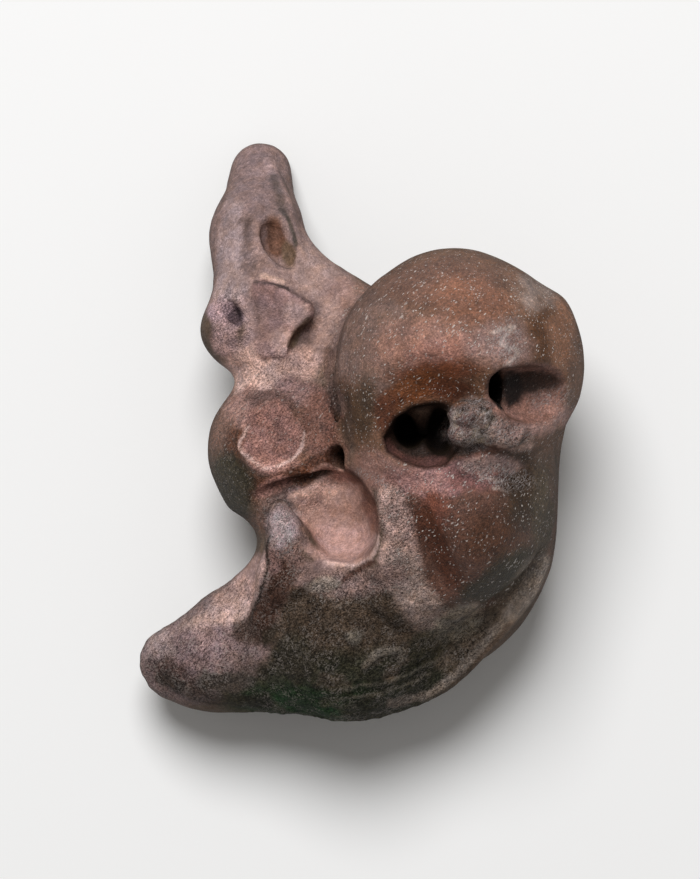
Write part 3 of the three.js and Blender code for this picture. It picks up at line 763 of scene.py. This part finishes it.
# Rose in the middle of the dome, partly a painted reflection.
stain_or_painted_light("8e695c", spot(DOME, -2.0, 1.6, 3.2, 1.6, 10, 0.9))
stain_or_painted_light("a07366", spot(DOME, -0.9, 1.1, 2.2, 0.8, 10, 1.0))
stain_or_painted_light("7c4a34", spot(DOME, -1.3, -0.1, 2.6, 0.6, 6, 1.0))
stain_or_painted_light("6c3f24", spot(DOME, -2.5, -1.2, 2.2, 0.8, 24, 0.8))
stain_or_painted_light("7a4b30", spot(DOME, -3.2, -0.9, 1.3, 0.5, 35, 1.0))
stain_or_painted_light("583322", spot(DOME, -4.4, -2.5, 1.0, 1.2, -30, 0.9))
stain_or_painted_light("57311f", spot(DOME, -0.5, -1.2, 1.3, 0.7, -4, 0.9))
stain_or_painted_light("8b6e67", spot(DOME, 2.6, 1.5, 1.9, 1.3, 0, 0.9))
stain_or_painted_light(
    "baa69e",
    streak(DOME, [(2.1, 2.3), (3.5, 2.7), (2.6, 1.7), (3.7, 1.2), (3.1, 0.4)], 0.11, 1, 0.05)
    * 0.9,
)
stain_or_painted_light("553317", spot(DOME, 5.6, 2.4, 1.1, 1.9, 0, 0.9))
stain_or_painted_light("7a543d", spot(DOME, 6.6, 2.4, 0.8, 2.4, 0, 0.9))
stain_or_painted_light("4f3a29", spot(DOME, -6.0, -2.4, 1.0, 1.9, -8, 0.9))
stain_or_painted_light("54433a", streak(DOME, [(-6.9, -1.6), (-6.7, -3.0), (-6.6, -4.6)], 0.3, 1.4) * 0.7)
stain_or_painted_light("786058", streak(DOME, [(-8.0, 1.2), (-7.8, -0.6), (-7.2, -2.4)], 0.35))

# Under the window and on the lobe: rose, partly a painted reflection, with painted highlight
# streaks on the lobe's top, then amber in the valley, dark red-brown beyond.
# Rose under the window, partly a painted reflection.
stain_or_painted_light("8f6b60", spot(WINDOW, -2.4, -2.3, 1.9, 1.2, -20, 0.8))
stain_or_painted_light("9c776e", spot(WINDOW, 0.0, -2.4, 1.7, 0.5, 0, 0.8))
stain_or_painted_light("886562", spot(WINDOW, 0.8, -2.7, 3.0, 0.9, 4, 0.8))
stain_or_painted_light("a37a74", spot(LOBE, -1.4, 2.0, 1.5, 0.8, 8, 0.9))
stain_or_painted_light("7b5552", spot(LOBE, 1.6, 2.4, 2.0, 1.0, 0, 0.9))
# Painted highlight streaks on the lobe's top.
stain_or_painted_light("b5a199", streak(LOBE, [(2.0, 2.3), (3.4, 2.0), (4.9, 2.2)], 0.10) * 0.7)
stain_or_painted_light("b5a199", streak(LOBE, [(2.8, 1.6), (4.2, 1.4), (5.2, 1.6)], 0.09) * 0.7)
stain_or_painted_light("75483a", spot(LOBE, -0.8, 0.3, 1.0, 1.2, 10, 0.8))
stain_or_painted_light("4d2d20", streak(LOBE, [(-1.5, 0.0), (-0.8, -1.6), (-0.2, -3.0), (0.4, -4.0)], 0.62))
stain_or_painted_light("523526", spot(LOBE, 2.8, -1.6, 1.8, 1.6, 0, 1.0))
stain_or_painted_light("3a2818", spot(LOBE, 4.7, 1.6, 1.4, 2.8, 0, 0.9))
stain_or_painted_light("322a18", spot(LOBE, 3.8, -3.8, 2.4, 1.2, 40, 0.9))
stain_or_painted_light("4a3d2c", spot(LOBE, 6.0, 0.0, 0.8, 3.4, 0, 0.9))
stain_or_painted_light("2e2413", spot(LOBE, 2.2, -4.6, 1.8, 0.8, 30, 0.8))

# The rough grey ridge, the warm pale hollow with painted light and shade, and the crest with
# painted shade down its left side and a painted highlight on its top.
stain_or_painted_light("bc9b92", streak(LOBE, [(-3.5, 0.9), (-2.9, -1.2), (-2.6, -2.6)], 0.85))
stain_or_painted_light("d3afa5", spot(LOBE, -3.4, -2.6, 0.8, 1.3))
stain_or_painted_light("b3998f", streak(LOBE, [(-2.8, -3.4), (-2.4, -4.8), (-1.4, -6.2)], 1.15))
stain_or_painted_light("978b7e", spot(LOBE, 0.6, -7.0, 1.8, 1.0, 30))
stain_or_painted_light("b18e83", in_hollow)
# Painted light and shade in the hollow: paler low down, darker at its right and top, under the
# wall.
stain_or_painted_light("ba968e", in_hollow * spot(BULGE, 4.0, -5.9, 2.4, 1.0, -8))
stain_or_painted_light("946f64", in_hollow * spot(BULGE, 5.7, -3.4, 0.7, 1.8, 8))
stain_or_painted_light("87645a", in_hollow * spot(BULGE, 3.7, -1.5, 1.9, 0.6, -10))
stain_or_painted_light("987d79", spot(BACK, 2.6, 4.7, 2.0, 0.8, 8))
# A painted highlight along the hollow's lower rim.
stain_or_painted_light("c9aaa2", streak(BULGE, [(2.7, -7.1), (4.4, -7.3), (5.5, -6.7), (5.9, -5.4)], 0.12))
stain_or_painted_light("7a625b", on_crest)
# Painted shade down the crest's left side, and a painted shadow at its lower end.
stain_or_painted_light("5c443b", streak(BACK, [(0.3, 4.6), (-0.3, 3.0), (-1.0, 1.6)], 0.6))
stain_or_painted_light("2e261c", spot(BACK, -0.5, 1.0, 1.1, 0.9))
# A painted highlight on the top of the crest's nose.
stain_or_painted_light("c9adb0", spot(BACK, 0.5, 7.4, 0.9, 1.2, 0, 0.8))
stain_or_painted_light("d3c0c2", streak(BACK, [(0.1, 8.2), (0.7, 7.4), (1.2, 6.6)], 0.14) * 0.8)

# The back process: a bright worn face with a jagged edge, and a rough purple-grey tip.
stain_or_painted_light("ad8f88", spot(BACK, -2.2, 3.6, 1.4, 2.6, -40, 0.35))
stain_or_painted_light("bb9d96", spot(BACK, -3.3, 2.0, 2.2, 0.9, 20, 0.4))
flakes = blotches(1.2, 71, 0.05, 0.12)
stain_or_painted_light("ab8f86", spot(BACK, -4.0, 1.2, 2.4, 1.2, 20, 0.6) * flakes)
stain_or_painted_light("8f7777", spot(BACK, -4.8, -0.2, 2.6, 1.2, 20))
stain_or_painted_light("9f8a88", spot(BACK, -7.4, -0.2, 1.0, 1.6, 20))
stain_or_painted_light("5c4844", spot(BACK, -6.4, -1.9, 1.6, 0.8, -30))
stain_or_painted_light("b49a92", spot(BACK, -5.6, -2.9, 0.35, 0.35))

# The base: olive-brown under a crust, with painted shade and a painted green reflection low down.
on_base = spot(BASE, 0.6, -3.0, 8.6, 4.8, 14, 0.3) * (1 - on_lobe)
on_base = on_base * (1 - 0.8 * on_back) * (1 - 0.8 * on_ridge)
stain_or_painted_light("4a3d31", on_base * (1 - on_crest) * (1 - in_hollow) * 0.85)
# Painted shade with a painted green reflection along the base's lower part.
stain_or_painted_light("38372a", spot(BASE, -0.6, -5.6, 6.6, 2.4, 6, 0.7))
stain_or_painted_light("26331e", spot(BASE, -2.0, -6.6, 4.6, 1.4, 4, 0.8))
stain_or_painted_light("2d2c1d", spot(BASE, 4.6, -3.6, 3.0, 1.4, 30, 0.8) * 0.7)
stain_or_painted_light("6a5e52", streak(LOBE, [(5.2, -3.2), (4.0, -5.2), (1.9, -7.6), (-0.3, -9.6)], 0.5) * 0.7)
stain_or_painted_light("6a5a4e", on_base * blotches(2.0, 51, 0.05, 0.3) * 0.55)
stain_or_painted_light("2a2419", on_base * blotches(1.5, 61, 0.15, 0.3) * 0.4)
# Painted shade with a painted green reflection along the base's lower edge.
stain_or_painted_light(
    "1f3d20",
    streak(BASE, [(-7.0, -5.9), (-4.6, -6.4), (-2.0, -6.7), (0.6, -7.2)], 1.0, 1.2)
    * (0.45 + 0.5 * blotches(0.9, 121, -0.1, 0.4)),
)
stain_or_painted_light("343326", streak(BASE, [(0.6, -7.0), (3.4, -6.6), (5.4, -5.0)], 0.8, 1.0))

# Painted shade in the creases of the back process and along its lower edge.
stain_or_painted_light("3d372c", spot(BACK, 1.2, -0.6, 1.3, 1.4))
stain_or_painted_light("4a3a34", spot(BACK, -1.7, 0.8, 1.0, 0.9))
stain_or_painted_light("4c433d", spot(BACK, -3.2, -2.3, 1.9, 0.7))
stain_or_painted_light(
    "2c261f",
    streak(BACK, [(-7.0, -2.1), (-5.3, -3.1), (-2.8, -3.5), (-0.6, -3.5)], 0.5, 1.2) * 0.8,
)

# The bead round the base, the sill of the hollow, and the sides of the crest, with painted
# shade down the crest's left side.
stain_or_painted_light(
    "85786e",
    streak(
        LOBE,
        [(5.8, -3.0), (4.6, -5.4), (2.6, -8.0), (0.4, -10.4), (-1.4, -11.5), (-3.4, -12.0)],
        0.26,
    ),
)
stain_or_painted_light("907771", streak(BACK, [(2.2, 4.5), (3.8, 4.0), (5.8, 4.1), (7.6, 4.6)], 0.8, 1.0))
# Painted shade down the crest's left side.
stain_or_painted_light("50372d", streak(BACK, [(0.6, 4.7), (0.1, 3.6), (-0.8, 1.9)], 0.8))
stain_or_painted_light("7d625b", spot(BACK, 1.2, 5.8, 0.6, 1.1, 20))
stain_or_painted_light("735853", spot(BACK, -0.1, 5.4, 0.6, 0.8))
# A painted shadow line along the crest's left edge.
stain_or_painted_light(
    "33251f",
    streak(
        BACK,
        [(-0.3, 7.0), (-0.55, 6.0), (-0.5, 5.2), (-0.7, 4.2), (-1.2, 2.6), (-1.5, 1.5)],
        0.10,
    ),
)
stain_or_painted_light("5a4038", streak(BACK, [(3.5, 3.7), (4.3, 4.2), (6.1, 5.4)], 0.16))

# Marks on the base: a looped ridge, two fine lines, a small knob, and pale ends of the bead.
LOOP_RIDGE = [(1.2, -4.0), (2.0, -3.2), (3.2, -3.1), (3.4, -3.6)]
stain_or_painted_light("756b60", streak(BASE, LOOP_RIDGE, 0.25))
stain_or_painted_light("6d665a", streak(BASE, [(-1.0, -5.6), (2.8, -4.95), (5.4, -3.8)], 0.08) * 0.7)
stain_or_painted_light("6d665a", streak(BASE, [(-0.6, -6.2), (2.9, -5.6), (5.2, -4.6)], 0.08) * 0.7)
stain_or_painted_light("665e54", spot(BASE, 0.5, -2.2, 0.5, 0.5))
stain_or_painted_light("81776a", spot(LOBE, 1.3, -7.3, 1.2, 0.6, 30))
stain_or_painted_light("8d7f74", streak(LOBE, [(6.0, -3.2), (5.2, -4.8), (4.2, -6.2)], 0.6))
stain_or_painted_light("a3958a", spot(BACK, 3.0, 3.9, 1.0, 0.4, 10) * 0.8)

# Rock, and painted shade in the openings.
stain_or_painted_light("826b63", on_rock)
stain_or_painted_light("7d5f5a", on_rock * spot(WINDOW, 2.4, 0.5, 0.9, 1.5))
stain_or_painted_light("a1927f", on_rock * blotches(0.9, 81, 0.05, 0.2) * 0.7)
stain_or_painted_light("b09c92", on_rock * fade((lumps(points, 0.45, 131) - 0.25) / 0.2) * 0.6)
stain_or_painted_light("33261f", on_rock * fade((lumps(points, 0.5, 141) - 0.3) / 0.2) * 0.8)
stain_or_painted_light("5a4a44", on_rock * spot(WINDOW, 2.7, -0.9, 1.2, 0.5))
stain_or_painted_light("a89088", on_rock * spot(WINDOW, 5.6, 0.1, 1.0, 0.6))
stain_or_painted_light("a9857c", spot(DOME, 4.9, -3.2, 2.6, 0.8, 14, 0.8))
stain_or_painted_light("a98d84", spot(WINDOW, 5.8, -0.4, 1.2, 0.6) * (1 - on_rock))
stain_or_painted_light("967b75", spot(WINDOW, 4.3, -1.9, 1.9, 0.6, 4) * (1 - on_rock))
# Painted shade in the duct: darker under its top wall, near black in its hole.
stain_or_painted_light("8a665b", in_duct)
stain_or_painted_light("3d2b24", in_duct * spot(DOME, 4.2, -0.8, 2.6, 0.7, 4))
stain_or_painted_light("1c1311", in_duct * spot(DOME, 3.3, -1.1, 0.9, 1.0))
stain_or_painted_light("0b0807", np.clip((0.1 - duct_hole(points)) / 0.1, 0, 1))
# Painted shade in the window: dark brown, near black deep inside and in its chamber.
stain_or_painted_light("32241e", in_window)
stain_or_painted_light(
    "583b36",
    in_window * streak(WINDOW, [(-2.1, -0.6), (-1.4, -1.4), (0.0, -1.8), (1.4, -1.7)], 0.4),
)
stain_or_painted_light(
    "100a08",
    in_window * spot(WINDOW, -0.7, 0.0, 1.2, 1.2, 0, 0.5) * fade((15.9 - points[:, 2]) / 1.0),
)
stain_or_painted_light("150e0b", in_window * spot(WINDOW, 1.2, 0.1, 1.1, 1.5, 0, 0.4))
on_tongue = in_window * np.clip((0.15 - np.abs(window_tongue(points))) / 0.15, 0, 1)
stain_or_painted_light("5a473c", on_tongue * fade((points[:, 1] - 0.4) / 1.2))

# Painted shade darkens the creases and the sides that turn down; the edges are paler.
FEEL = 0.7
painted_crease_shade = np.clip(1 - bone(points + facing * FEEL) / FEEL, 0, 1)
edge = np.clip(1 + bone(points - facing * FEEL) / FEEL, 0, 1)
colour *= 1 + (0.22 * on_front * crumbs(points * (1.8, 0.35, 1.0), 0.7, 91))[:, None]
# Painted shade in the creases.
colour *= 1 - 0.42 * fade(painted_crease_shade / 0.8)[:, None]
colour *= 1 + 0.4 * (edge * (1 - on_dome) * (1 - on_lobe) * (1 - in_window))[:, None]
# Painted shade on the sides that turn down and away from the top.
painted_downward_shade = fade((0.5 - facing[:, 2]) / 0.5)
stain_or_painted_light("241a0d", 0.58 * painted_downward_shade)

# Painted shade with a painted olive-green reflection low down; grey-brown and dull underneath.
low = fade((7.0 - points[:, 2]) / 5.0) * (1 - on_front)
stain_or_painted_light("4b483b", low * 0.5)
stain_or_painted_light("5d5044", 1 - upward)

on_knob = spot(FRONT, -2.2, -1.0, 1.2, 2.2)
under_window = spot(LOBE, 3.0, 2.4, 2.6, 0.9, -6, 0.8)

# How thick the crusts are, from 0 to 1.
crust = np.maximum.reduce(
    [
        on_rock,
        0.95 * on_base,
        0.35 * on_back,
        0.8 * spot(BACK, -6.2, -1.4, 2.4, 1.8, 20),
        0.5 * on_crest,
        0.9 * on_ridge,
        0.55 * under_window,
        0.15 * on_front,
        0.8 * on_knob,
        0.3 * spot(FRONT, 1.0, -3.8, 3.6, 1.0, -12, 0.8),
        0.5 * spot(BULGE, -0.8, 1.2, 2.2, 2.4, 0, 0.4),
        0.5 * spot(DOME, -7.4, -1.0, 0.8, 3.2),
    ]
)
crust = np.clip(crust * (1 - 0.85 * in_hollow) * (1 - in_window), 0, 1)

# Where white pinpricks show, where a white coat of lime and painted highlights lie, and how
# crisp the grain is.
specks = np.maximum(np.maximum(on_dome, on_lobe), 0.35 * on_bulge)
specks = specks * (1 - on_rock) * (1 - in_window) * (1 - 0.8 * in_duct)
specks = np.clip(specks * (1 - 0.55 * painted_downward_shade), 0, 1)
# A coat of lime, with painted highlights among it on the crest's top and the lobe.
frost_and_highlight = np.maximum.reduce(
    [
        spot(BACK, 0.5, 7.3, 0.8, 1.4, 0, 0.9),
        0.7 * spot(DOME, 3.0, 1.7, 1.0, 1.3, 0, 0.9),
        0.9 * spot(LOBE, 3.4, 2.3, 1.9, 0.7, -6, 0.9),
        0.7 * on_rock,
        0.6 * spot(DOME, 5.9, -1.7, 1.3, 0.6, 10, 0.9),
        0.6 * streak(LOBE, [(-5.4, 2.6), (-4.4, 2.2), (-3.6, 1.4)], 0.3),
    ]
)
crisp = np.maximum.reduce(
    [
        0.06 * on_front,
        0.50 * on_knob,
        0.34 * spot(FRONT, 2.0, -4.6, 4.0, 2.0, -12, 0.8),
        0.46 * on_bulge,
        0.17 * on_dome,
        0.28 * on_lobe,
        0.60 * under_window,
        0.90 * on_rock,
        0.80 * on_ridge,
        0.85 * on_crest,
        1.00 * on_base,
        0.60 * on_back,
        0.90 * spot(BACK, -5.0, -1.2, 4.4, 1.8, 20),
        0.25 * in_window,
    ]
)
crisp = np.clip(crisp * (1 - 0.6 * in_hollow) + 0.12, 0, 1)
smooth_bone = np.maximum(on_dome, np.maximum(on_lobe, on_bulge))
polish = np.clip(smooth_bone - crust, 0, 1) * fade(facing[:, 2] / 0.7)

# Relief: crumbs on the crusts, soft swells on the polished bone, pits in the crusts.
relief = 0.05 * crumbs(points, 2.6, 3)
relief += crust * (0.13 * crumbs(points, 0.9, 5) + 0.07 * lumps(points, 0.4, 9))
relief += on_rock * 0.16 * crumbs(points, 1.1, 31)
relief += crust * pits(points, 1.1, 41, 0.15)
relief += 0.17 * streak(BASE, LOOP_RIDGE, 0.2)
relief += 0.16 * spot(BASE, 0.5, -2.2, 0.5, 0.45)
relief -= 0.07 * streak(BASE, [(-1.0, -5.3), (2.8, -4.65), (5.4, -3.5)], 0.12)
relief -= 0.07 * streak(BASE, [(-0.6, -5.9), (2.9, -5.3), (5.2, -4.3)], 0.12)
relief -= in_hollow * 0.6 * relief
points = points + facing * relief[:, None]

# Crumbs under the bone stop just above the table.
CLEARANCE = 0.005
points[:, 2] = np.maximum(points[:, 2], TABLE + CLEARANCE)

MIDDLE = np.array([-0.04, 0.02, TABLE])
MM = 0.001

skin_mesh = bpy.data.meshes.new("periotic_skin")
skin_mesh.from_pydata(((points - MIDDLE) * MM).tolist(), [], quads.tolist())
skin_mesh.polygons.foreach_set("use_smooth", np.ones(len(skin_mesh.polygons), bool))
# The skin's colours, stains and painted light and shade, go on as one colour layer.
skin_colours = skin_mesh.color_attributes.new("stain_or_painted_light", "FLOAT_COLOR", "POINT")
skin_colours.data.foreach_set("color", np.column_stack([colour, np.ones(len(colour))]).ravel())
wear_and_highlights = {"crust": crust, "crisp": crisp, "specks": specks, "frost_and_highlight": frost_and_highlight, "polish": polish}
for name, amount in wear_and_highlights.items():
    layer_attribute = skin_mesh.attributes.new(name, "FLOAT", "POINT")
    layer_attribute.data.foreach_set("value", amount.astype(np.float32))
skin_mesh.update()
skin = bpy.data.objects.new("periotic_skin", skin_mesh)
bpy.context.scene.collection.objects.link(skin)
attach(skin, "root")
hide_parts("periotic")

# ---------------------------------------------------------------------------------------------
# Fossil bone: dense, mineral-dyed bone with a low natural polish. It is dotted with white
# pinpricks of worn-through surface, and its crusts are grainy and dull.

bone_look = bpy.data.materials.new("fossil_bone")
bone_look.use_nodes = True
nodes = bone_look.node_tree.nodes
links = bone_look.node_tree.links
bone_shader = nodes["Principled BSDF"]


def node(kind, **settings):
    made = nodes.new(kind)
    for name, value in settings.items():
        setattr(made, name, value)
    return made


def feed(source, target):
    if isinstance(source, (int, float, tuple)):
        target.default_value = source
    else:
        links.new(source, target)


def layer_named(name):
    return node("ShaderNodeAttribute", attribute_name=name).outputs["Fac"]


def work_out(kind, a, b, limit=False):
    made = node("ShaderNodeMath", operation=kind, use_clamp=limit)
    feed(a, made.inputs[0])
    feed(b, made.inputs[1])
    return made.outputs[0]


def rescale(value, low, high, to_low=0.0, to_high=1.0):
    made = node("ShaderNodeMapRange")
    feed(value, made.inputs["Value"])
    ends = {"From Min": low, "From Max": high, "To Min": to_low, "To Max": to_high}
    for name, number in ends.items():
        made.inputs[name].default_value = number
    return made.outputs[0]


def tinted(under, over, amount, how="MIX"):
    made = node("ShaderNodeMix", data_type="RGBA", blend_type=how)
    feed(amount, made.inputs[0])
    feed(under, made.inputs[6])
    feed(over, made.inputs[7])
    return made.outputs[2]


def grainy(per_mm, detail=3.0, rough=0.6, squeeze=None, wobble=0.0):
    made = node("ShaderNodeTexNoise")
    feed(squeeze or millimetres, made.inputs["Vector"])
    made.inputs["Scale"].default_value = per_mm
    made.inputs["Detail"].default_value = detail
    made.inputs["Roughness"].default_value = rough
    made.inputs["Distortion"].default_value = wobble
    return made.outputs[0]


place = node("ShaderNodeTexCoord").outputs["Object"]
to_millimetres = node("ShaderNodeVectorMath", operation="SCALE")
feed(place, to_millimetres.inputs[0])
to_millimetres.inputs["Scale"].default_value = 1 / MM
millimetres = to_millimetres.outputs[0]
brushed = node("ShaderNodeMapping", vector_type="TEXTURE")
feed(millimetres, brushed.inputs["Vector"])
brushed.inputs["Rotation"].default_value = (0, 0, math.radians(48))
brushed.inputs["Scale"].default_value = (1.9, 0.75, 1.0)
brushed = brushed.outputs[0]

crusty = layer_named("crust")
sharp = layer_named("crisp")
speckled = layer_named("specks")
frost_and_highlight_amount = layer_named("frost_and_highlight")
polished = layer_named("polish")
# The skin's colours: stains, and painted light and shade.
stained_and_painted = node("ShaderNodeAttribute", attribute_name="stain_or_painted_light").outputs["Color"]

cloudy = rescale(grainy(0.5, 4.0), 0.32, 0.68, 0.74, 1.26)
mottled = rescale(grainy(2.6, 4.0, 0.7, None, 0.8), 0.3, 0.7, 0.70, 1.30)
fine = rescale(grainy(9.0, 2.0, 0.7), 0.34, 0.66)
flecked = rescale(grainy(7.0, 2.0, 0.7, brushed, 0.8), 0.54, 0.64)
patchy = rescale(grainy(0.9, 3.0), 0.40, 0.60)
gritty = grainy(5.0, 3.0, 0.75, brushed, 1.0)
wormed = work_out("SUBTRACT", grainy(3.2, 2.0, 0.6, None, 1.6), 0.5)
wormed = work_out("ABSOLUTE", wormed, 0.0)
broken = rescale(grainy(5.0, 2.0, 0.6), 0.46, 0.56)
squiggle = work_out("MULTIPLY", rescale(wormed, 0.085, 0.035), broken)

# Clouds and mottling, then dark grain and pits, deeper where the skin is rough.
thick = work_out("MULTIPLY", crusty, rescale(patchy, 0.0, 1.0, 0.45, 1.0))
grit = rescale(gritty, 0.36, 0.64, -0.6, 0.5)
pattern = work_out("ADD", rescale(fine, 0.0, 1.0, -0.65, 0.6), grit)
pattern = work_out("ADD", pattern, work_out("MULTIPLY", squiggle, 0.8))
pattern = work_out("MULTIPLY", pattern, sharp)
clouds = work_out("MULTIPLY", cloudy, mottled)
contrast = work_out("POWER", 5.0, work_out("MINIMUM", pattern, 0.3))
shade = work_out("MULTIPLY", clouds, contrast)
shade = work_out("MULTIPLY", shade, rescale(flecked, 0.0, 1.0, 0.94, 1.22))
shade_colour = node("ShaderNodeCombineColor")
for channel in range(3):
    feed(shade, shade_colour.inputs[channel])
base = tinted(stained_and_painted, shade_colour.outputs[0], 1.0, "MULTIPLY")
COOL = (0.97, 1.0, 1.05, 1)
WARM = (1.04, 0.99, 0.93, 1)
warmth = tinted(COOL, WARM, rescale(grainy(1.2, 3.0), 0.35, 0.65))
base = tinted(base, warmth, 1.0, "MULTIPLY")

# Pale grains and squiggles stand out from the darker skin, and fade into the paler.
pale = work_out("MULTIPLY", rescale(pattern, 0.18, 0.8, 0.0, 0.8), rescale(sharp, 0.45, 0.8))
pale = work_out("MULTIPLY", pale, rescale(grainy(0.8, 4.0, 0.65), 0.44, 0.56, 0.12, 1.0))
PALE_GRAIN = (0.27, 0.234, 0.214, 1)
base = tinted(base, PALE_GRAIN, pale)

# Pinpricks: small white dots, drawn out a little along the bone's grain.
stray = node("ShaderNodeTexNoise")
feed(millimetres, stray.inputs["Vector"])
stray.inputs["Scale"].default_value = 2.2
strayed = node("ShaderNodeVectorMath", operation="MULTIPLY_ADD")
feed(stray.outputs["Color"], strayed.inputs[0])
strayed.inputs[1].default_value = (0.5, 0.5, 0.5)
feed(brushed, strayed.inputs[2])


def dotted(per_mm, fewest, most, small, large):
    """Round dots, one to a cell at most, fewer where the cloud of dots is thin."""
    dots = node("ShaderNodeTexVoronoi", feature="F1")
    feed(strayed.outputs[0], dots.inputs["Vector"])
    dots.inputs["Scale"].default_value = per_mm
    chance = node("ShaderNodeSeparateColor")
    feed(dots.outputs["Color"], chance.inputs[0])
    share = rescale(grainy(0.9, 2.0), 0.35, 0.65, fewest, most)
    kept = rescale(work_out("SUBTRACT", share, chance.outputs[0]), 0.0, 0.03)
    size = rescale(chance.outputs[1], 0.0, 1.0, small, large)
    inside = rescale(work_out("SUBTRACT", size, dots.outputs["Distance"]), 0.0, 0.10)
    strong = work_out("MULTIPLY", kept, rescale(chance.outputs[2], 0.0, 1.0, 0.35, 1.0))
    return work_out("MULTIPLY", inside, strong)


small_dots = dotted(5.8, 0.10, 1.00, 0.12, 0.40)
large_dots = dotted(2.6, 0.04, 0.36, 0.10, 0.26)
dot = work_out("MAXIMUM", small_dots, large_dots)
pinprick = work_out("MULTIPLY", dot, speckled)
PINPRICK_WHITE = (0.66, 0.59, 0.55, 1)
base = tinted(base, PINPRICK_WHITE, work_out("MULTIPLY", pinprick, 0.95))

# Frost: a thin white coat of lime, scratched through, and painted highlights on the crest's top
# and the lobe.
frost_and_highlight_film = rescale(grainy(3.4, 5.0, 0.85, brushed, 2.4), 0.52, 0.55)
frost_and_highlight_film = work_out("MULTIPLY", frost_and_highlight_film, frost_and_highlight_amount)
LIME_AND_HIGHLIGHT_WHITE = (0.62, 0.55, 0.54, 1)
base = tinted(base, LIME_AND_HIGHLIGHT_WHITE, work_out("MULTIPLY", frost_and_highlight_film, 0.9))
feed(base, bone_shader.inputs["Base Color"])

# Polished bone is smoother and shines more.
roughness = rescale(polished, 0.0, 1.0, 0.72, 0.46)
roughness = work_out("ADD", roughness, rescale(fine, 0.0, 1.0, -0.06, 0.08), True)
feed(roughness, bone_shader.inputs["Roughness"])
feed(rescale(polished, 0.0, 1.0, 0.12, 0.24), bone_shader.inputs["Specular IOR Level"])

# Bump, with its height in millimetres.
height = work_out("MULTIPLY", work_out("ADD", gritty, squiggle), thick)
height = work_out("MULTIPLY", height, 0.16)
height = work_out("ADD", height, work_out("MULTIPLY", fine, 0.03))
height = work_out("ADD", height, work_out("MULTIPLY", pinprick, 0.03))
height = work_out("ADD", height, work_out("MULTIPLY", frost_and_highlight_film, 0.03))
grain_bump = node("ShaderNodeBump")
grain_bump.inputs["Strength"].default_value = 1.0
grain_bump.inputs["Distance"].default_value = MM
feed(height, grain_bump.inputs["Height"])
feed(grain_bump.outputs[0], bone_shader.inputs["Normal"])
skin_mesh.materials.append(bone_look)

# ---------------------------------------------------------------------------------------------
# Table, light and camera. The table is plain and pale. A broad lamp hangs past the front
# process, and the pale room fills the shadows.

bpy.ops.mesh.primitive_plane_add(size=2.0, location=(0, 0, 0))
table = bpy.context.object
table.name = "table"
table_look = bpy.data.materials.new("table_paint")
table_look.use_nodes = True
paint = table_look.node_tree.nodes["Principled BSDF"]
paint.inputs["Base Color"].default_value = (0.95, 0.95, 0.95, 1)
paint.inputs["Roughness"].default_value = 0.9
table.data.materials.append(table_look)
table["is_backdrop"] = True

ROOM_LIGHT = 0.22
room = bpy.data.worlds.new("room")
room.use_nodes = True
room.node_tree.nodes["Background"].inputs["Color"].default_value = (1.0, 0.98, 0.95, 1)
room.node_tree.nodes["Background"].inputs["Strength"].default_value = ROOM_LIGHT
bpy.context.scene.world = room
bpy.context.scene.view_settings.view_transform = "Standard"

LAMP_PLACE = (-0.06, 0.30, 0.50)
LAMP_AIM = (0, 0, 0.01)
LAMP_WIDTH = 0.32
LAMP_WATTS = 3.1
lamp_data = bpy.data.lights.new("broad_lamp", "AREA")
lamp_data.shape = "DISK"
lamp_data.size = LAMP_WIDTH
lamp_data.energy = LAMP_WATTS
lamp = bpy.data.objects.new("broad_lamp", lamp_data)
lamp.location = LAMP_PLACE
lamp.rotation_euler = (Vector(LAMP_AIM) - lamp.location).to_track_quat("-Z", "Y").to_euler()
bpy.context.scene.collection.objects.link(lamp)

EYE_X, EYE_Y = -0.00068, -0.00052
EYE_HEIGHT = 0.4578
EYE_LEVEL = 0.012 - TABLE * MM
SENSOR = 36
LENS = 300
camera_data = bpy.data.cameras.new("camera")
camera_data.sensor_width = SENSOR
camera_data.lens = LENS
camera_data.clip_start = 0.01
camera = bpy.data.objects.new("camera", camera_data)
camera.location = (EYE_X, EYE_Y, EYE_LEVEL + EYE_HEIGHT)
bpy.context.scene.collection.objects.link(camera)
bpy.context.scene.camera = camera

# ---------------------------------------------------------------------------------------------
# Sizes of the solid and of what shows, for comparison.

both = {"solid": solid_box, "visual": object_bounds()}
{name: [list(corner) for corner in box] for name, box in both.items()}
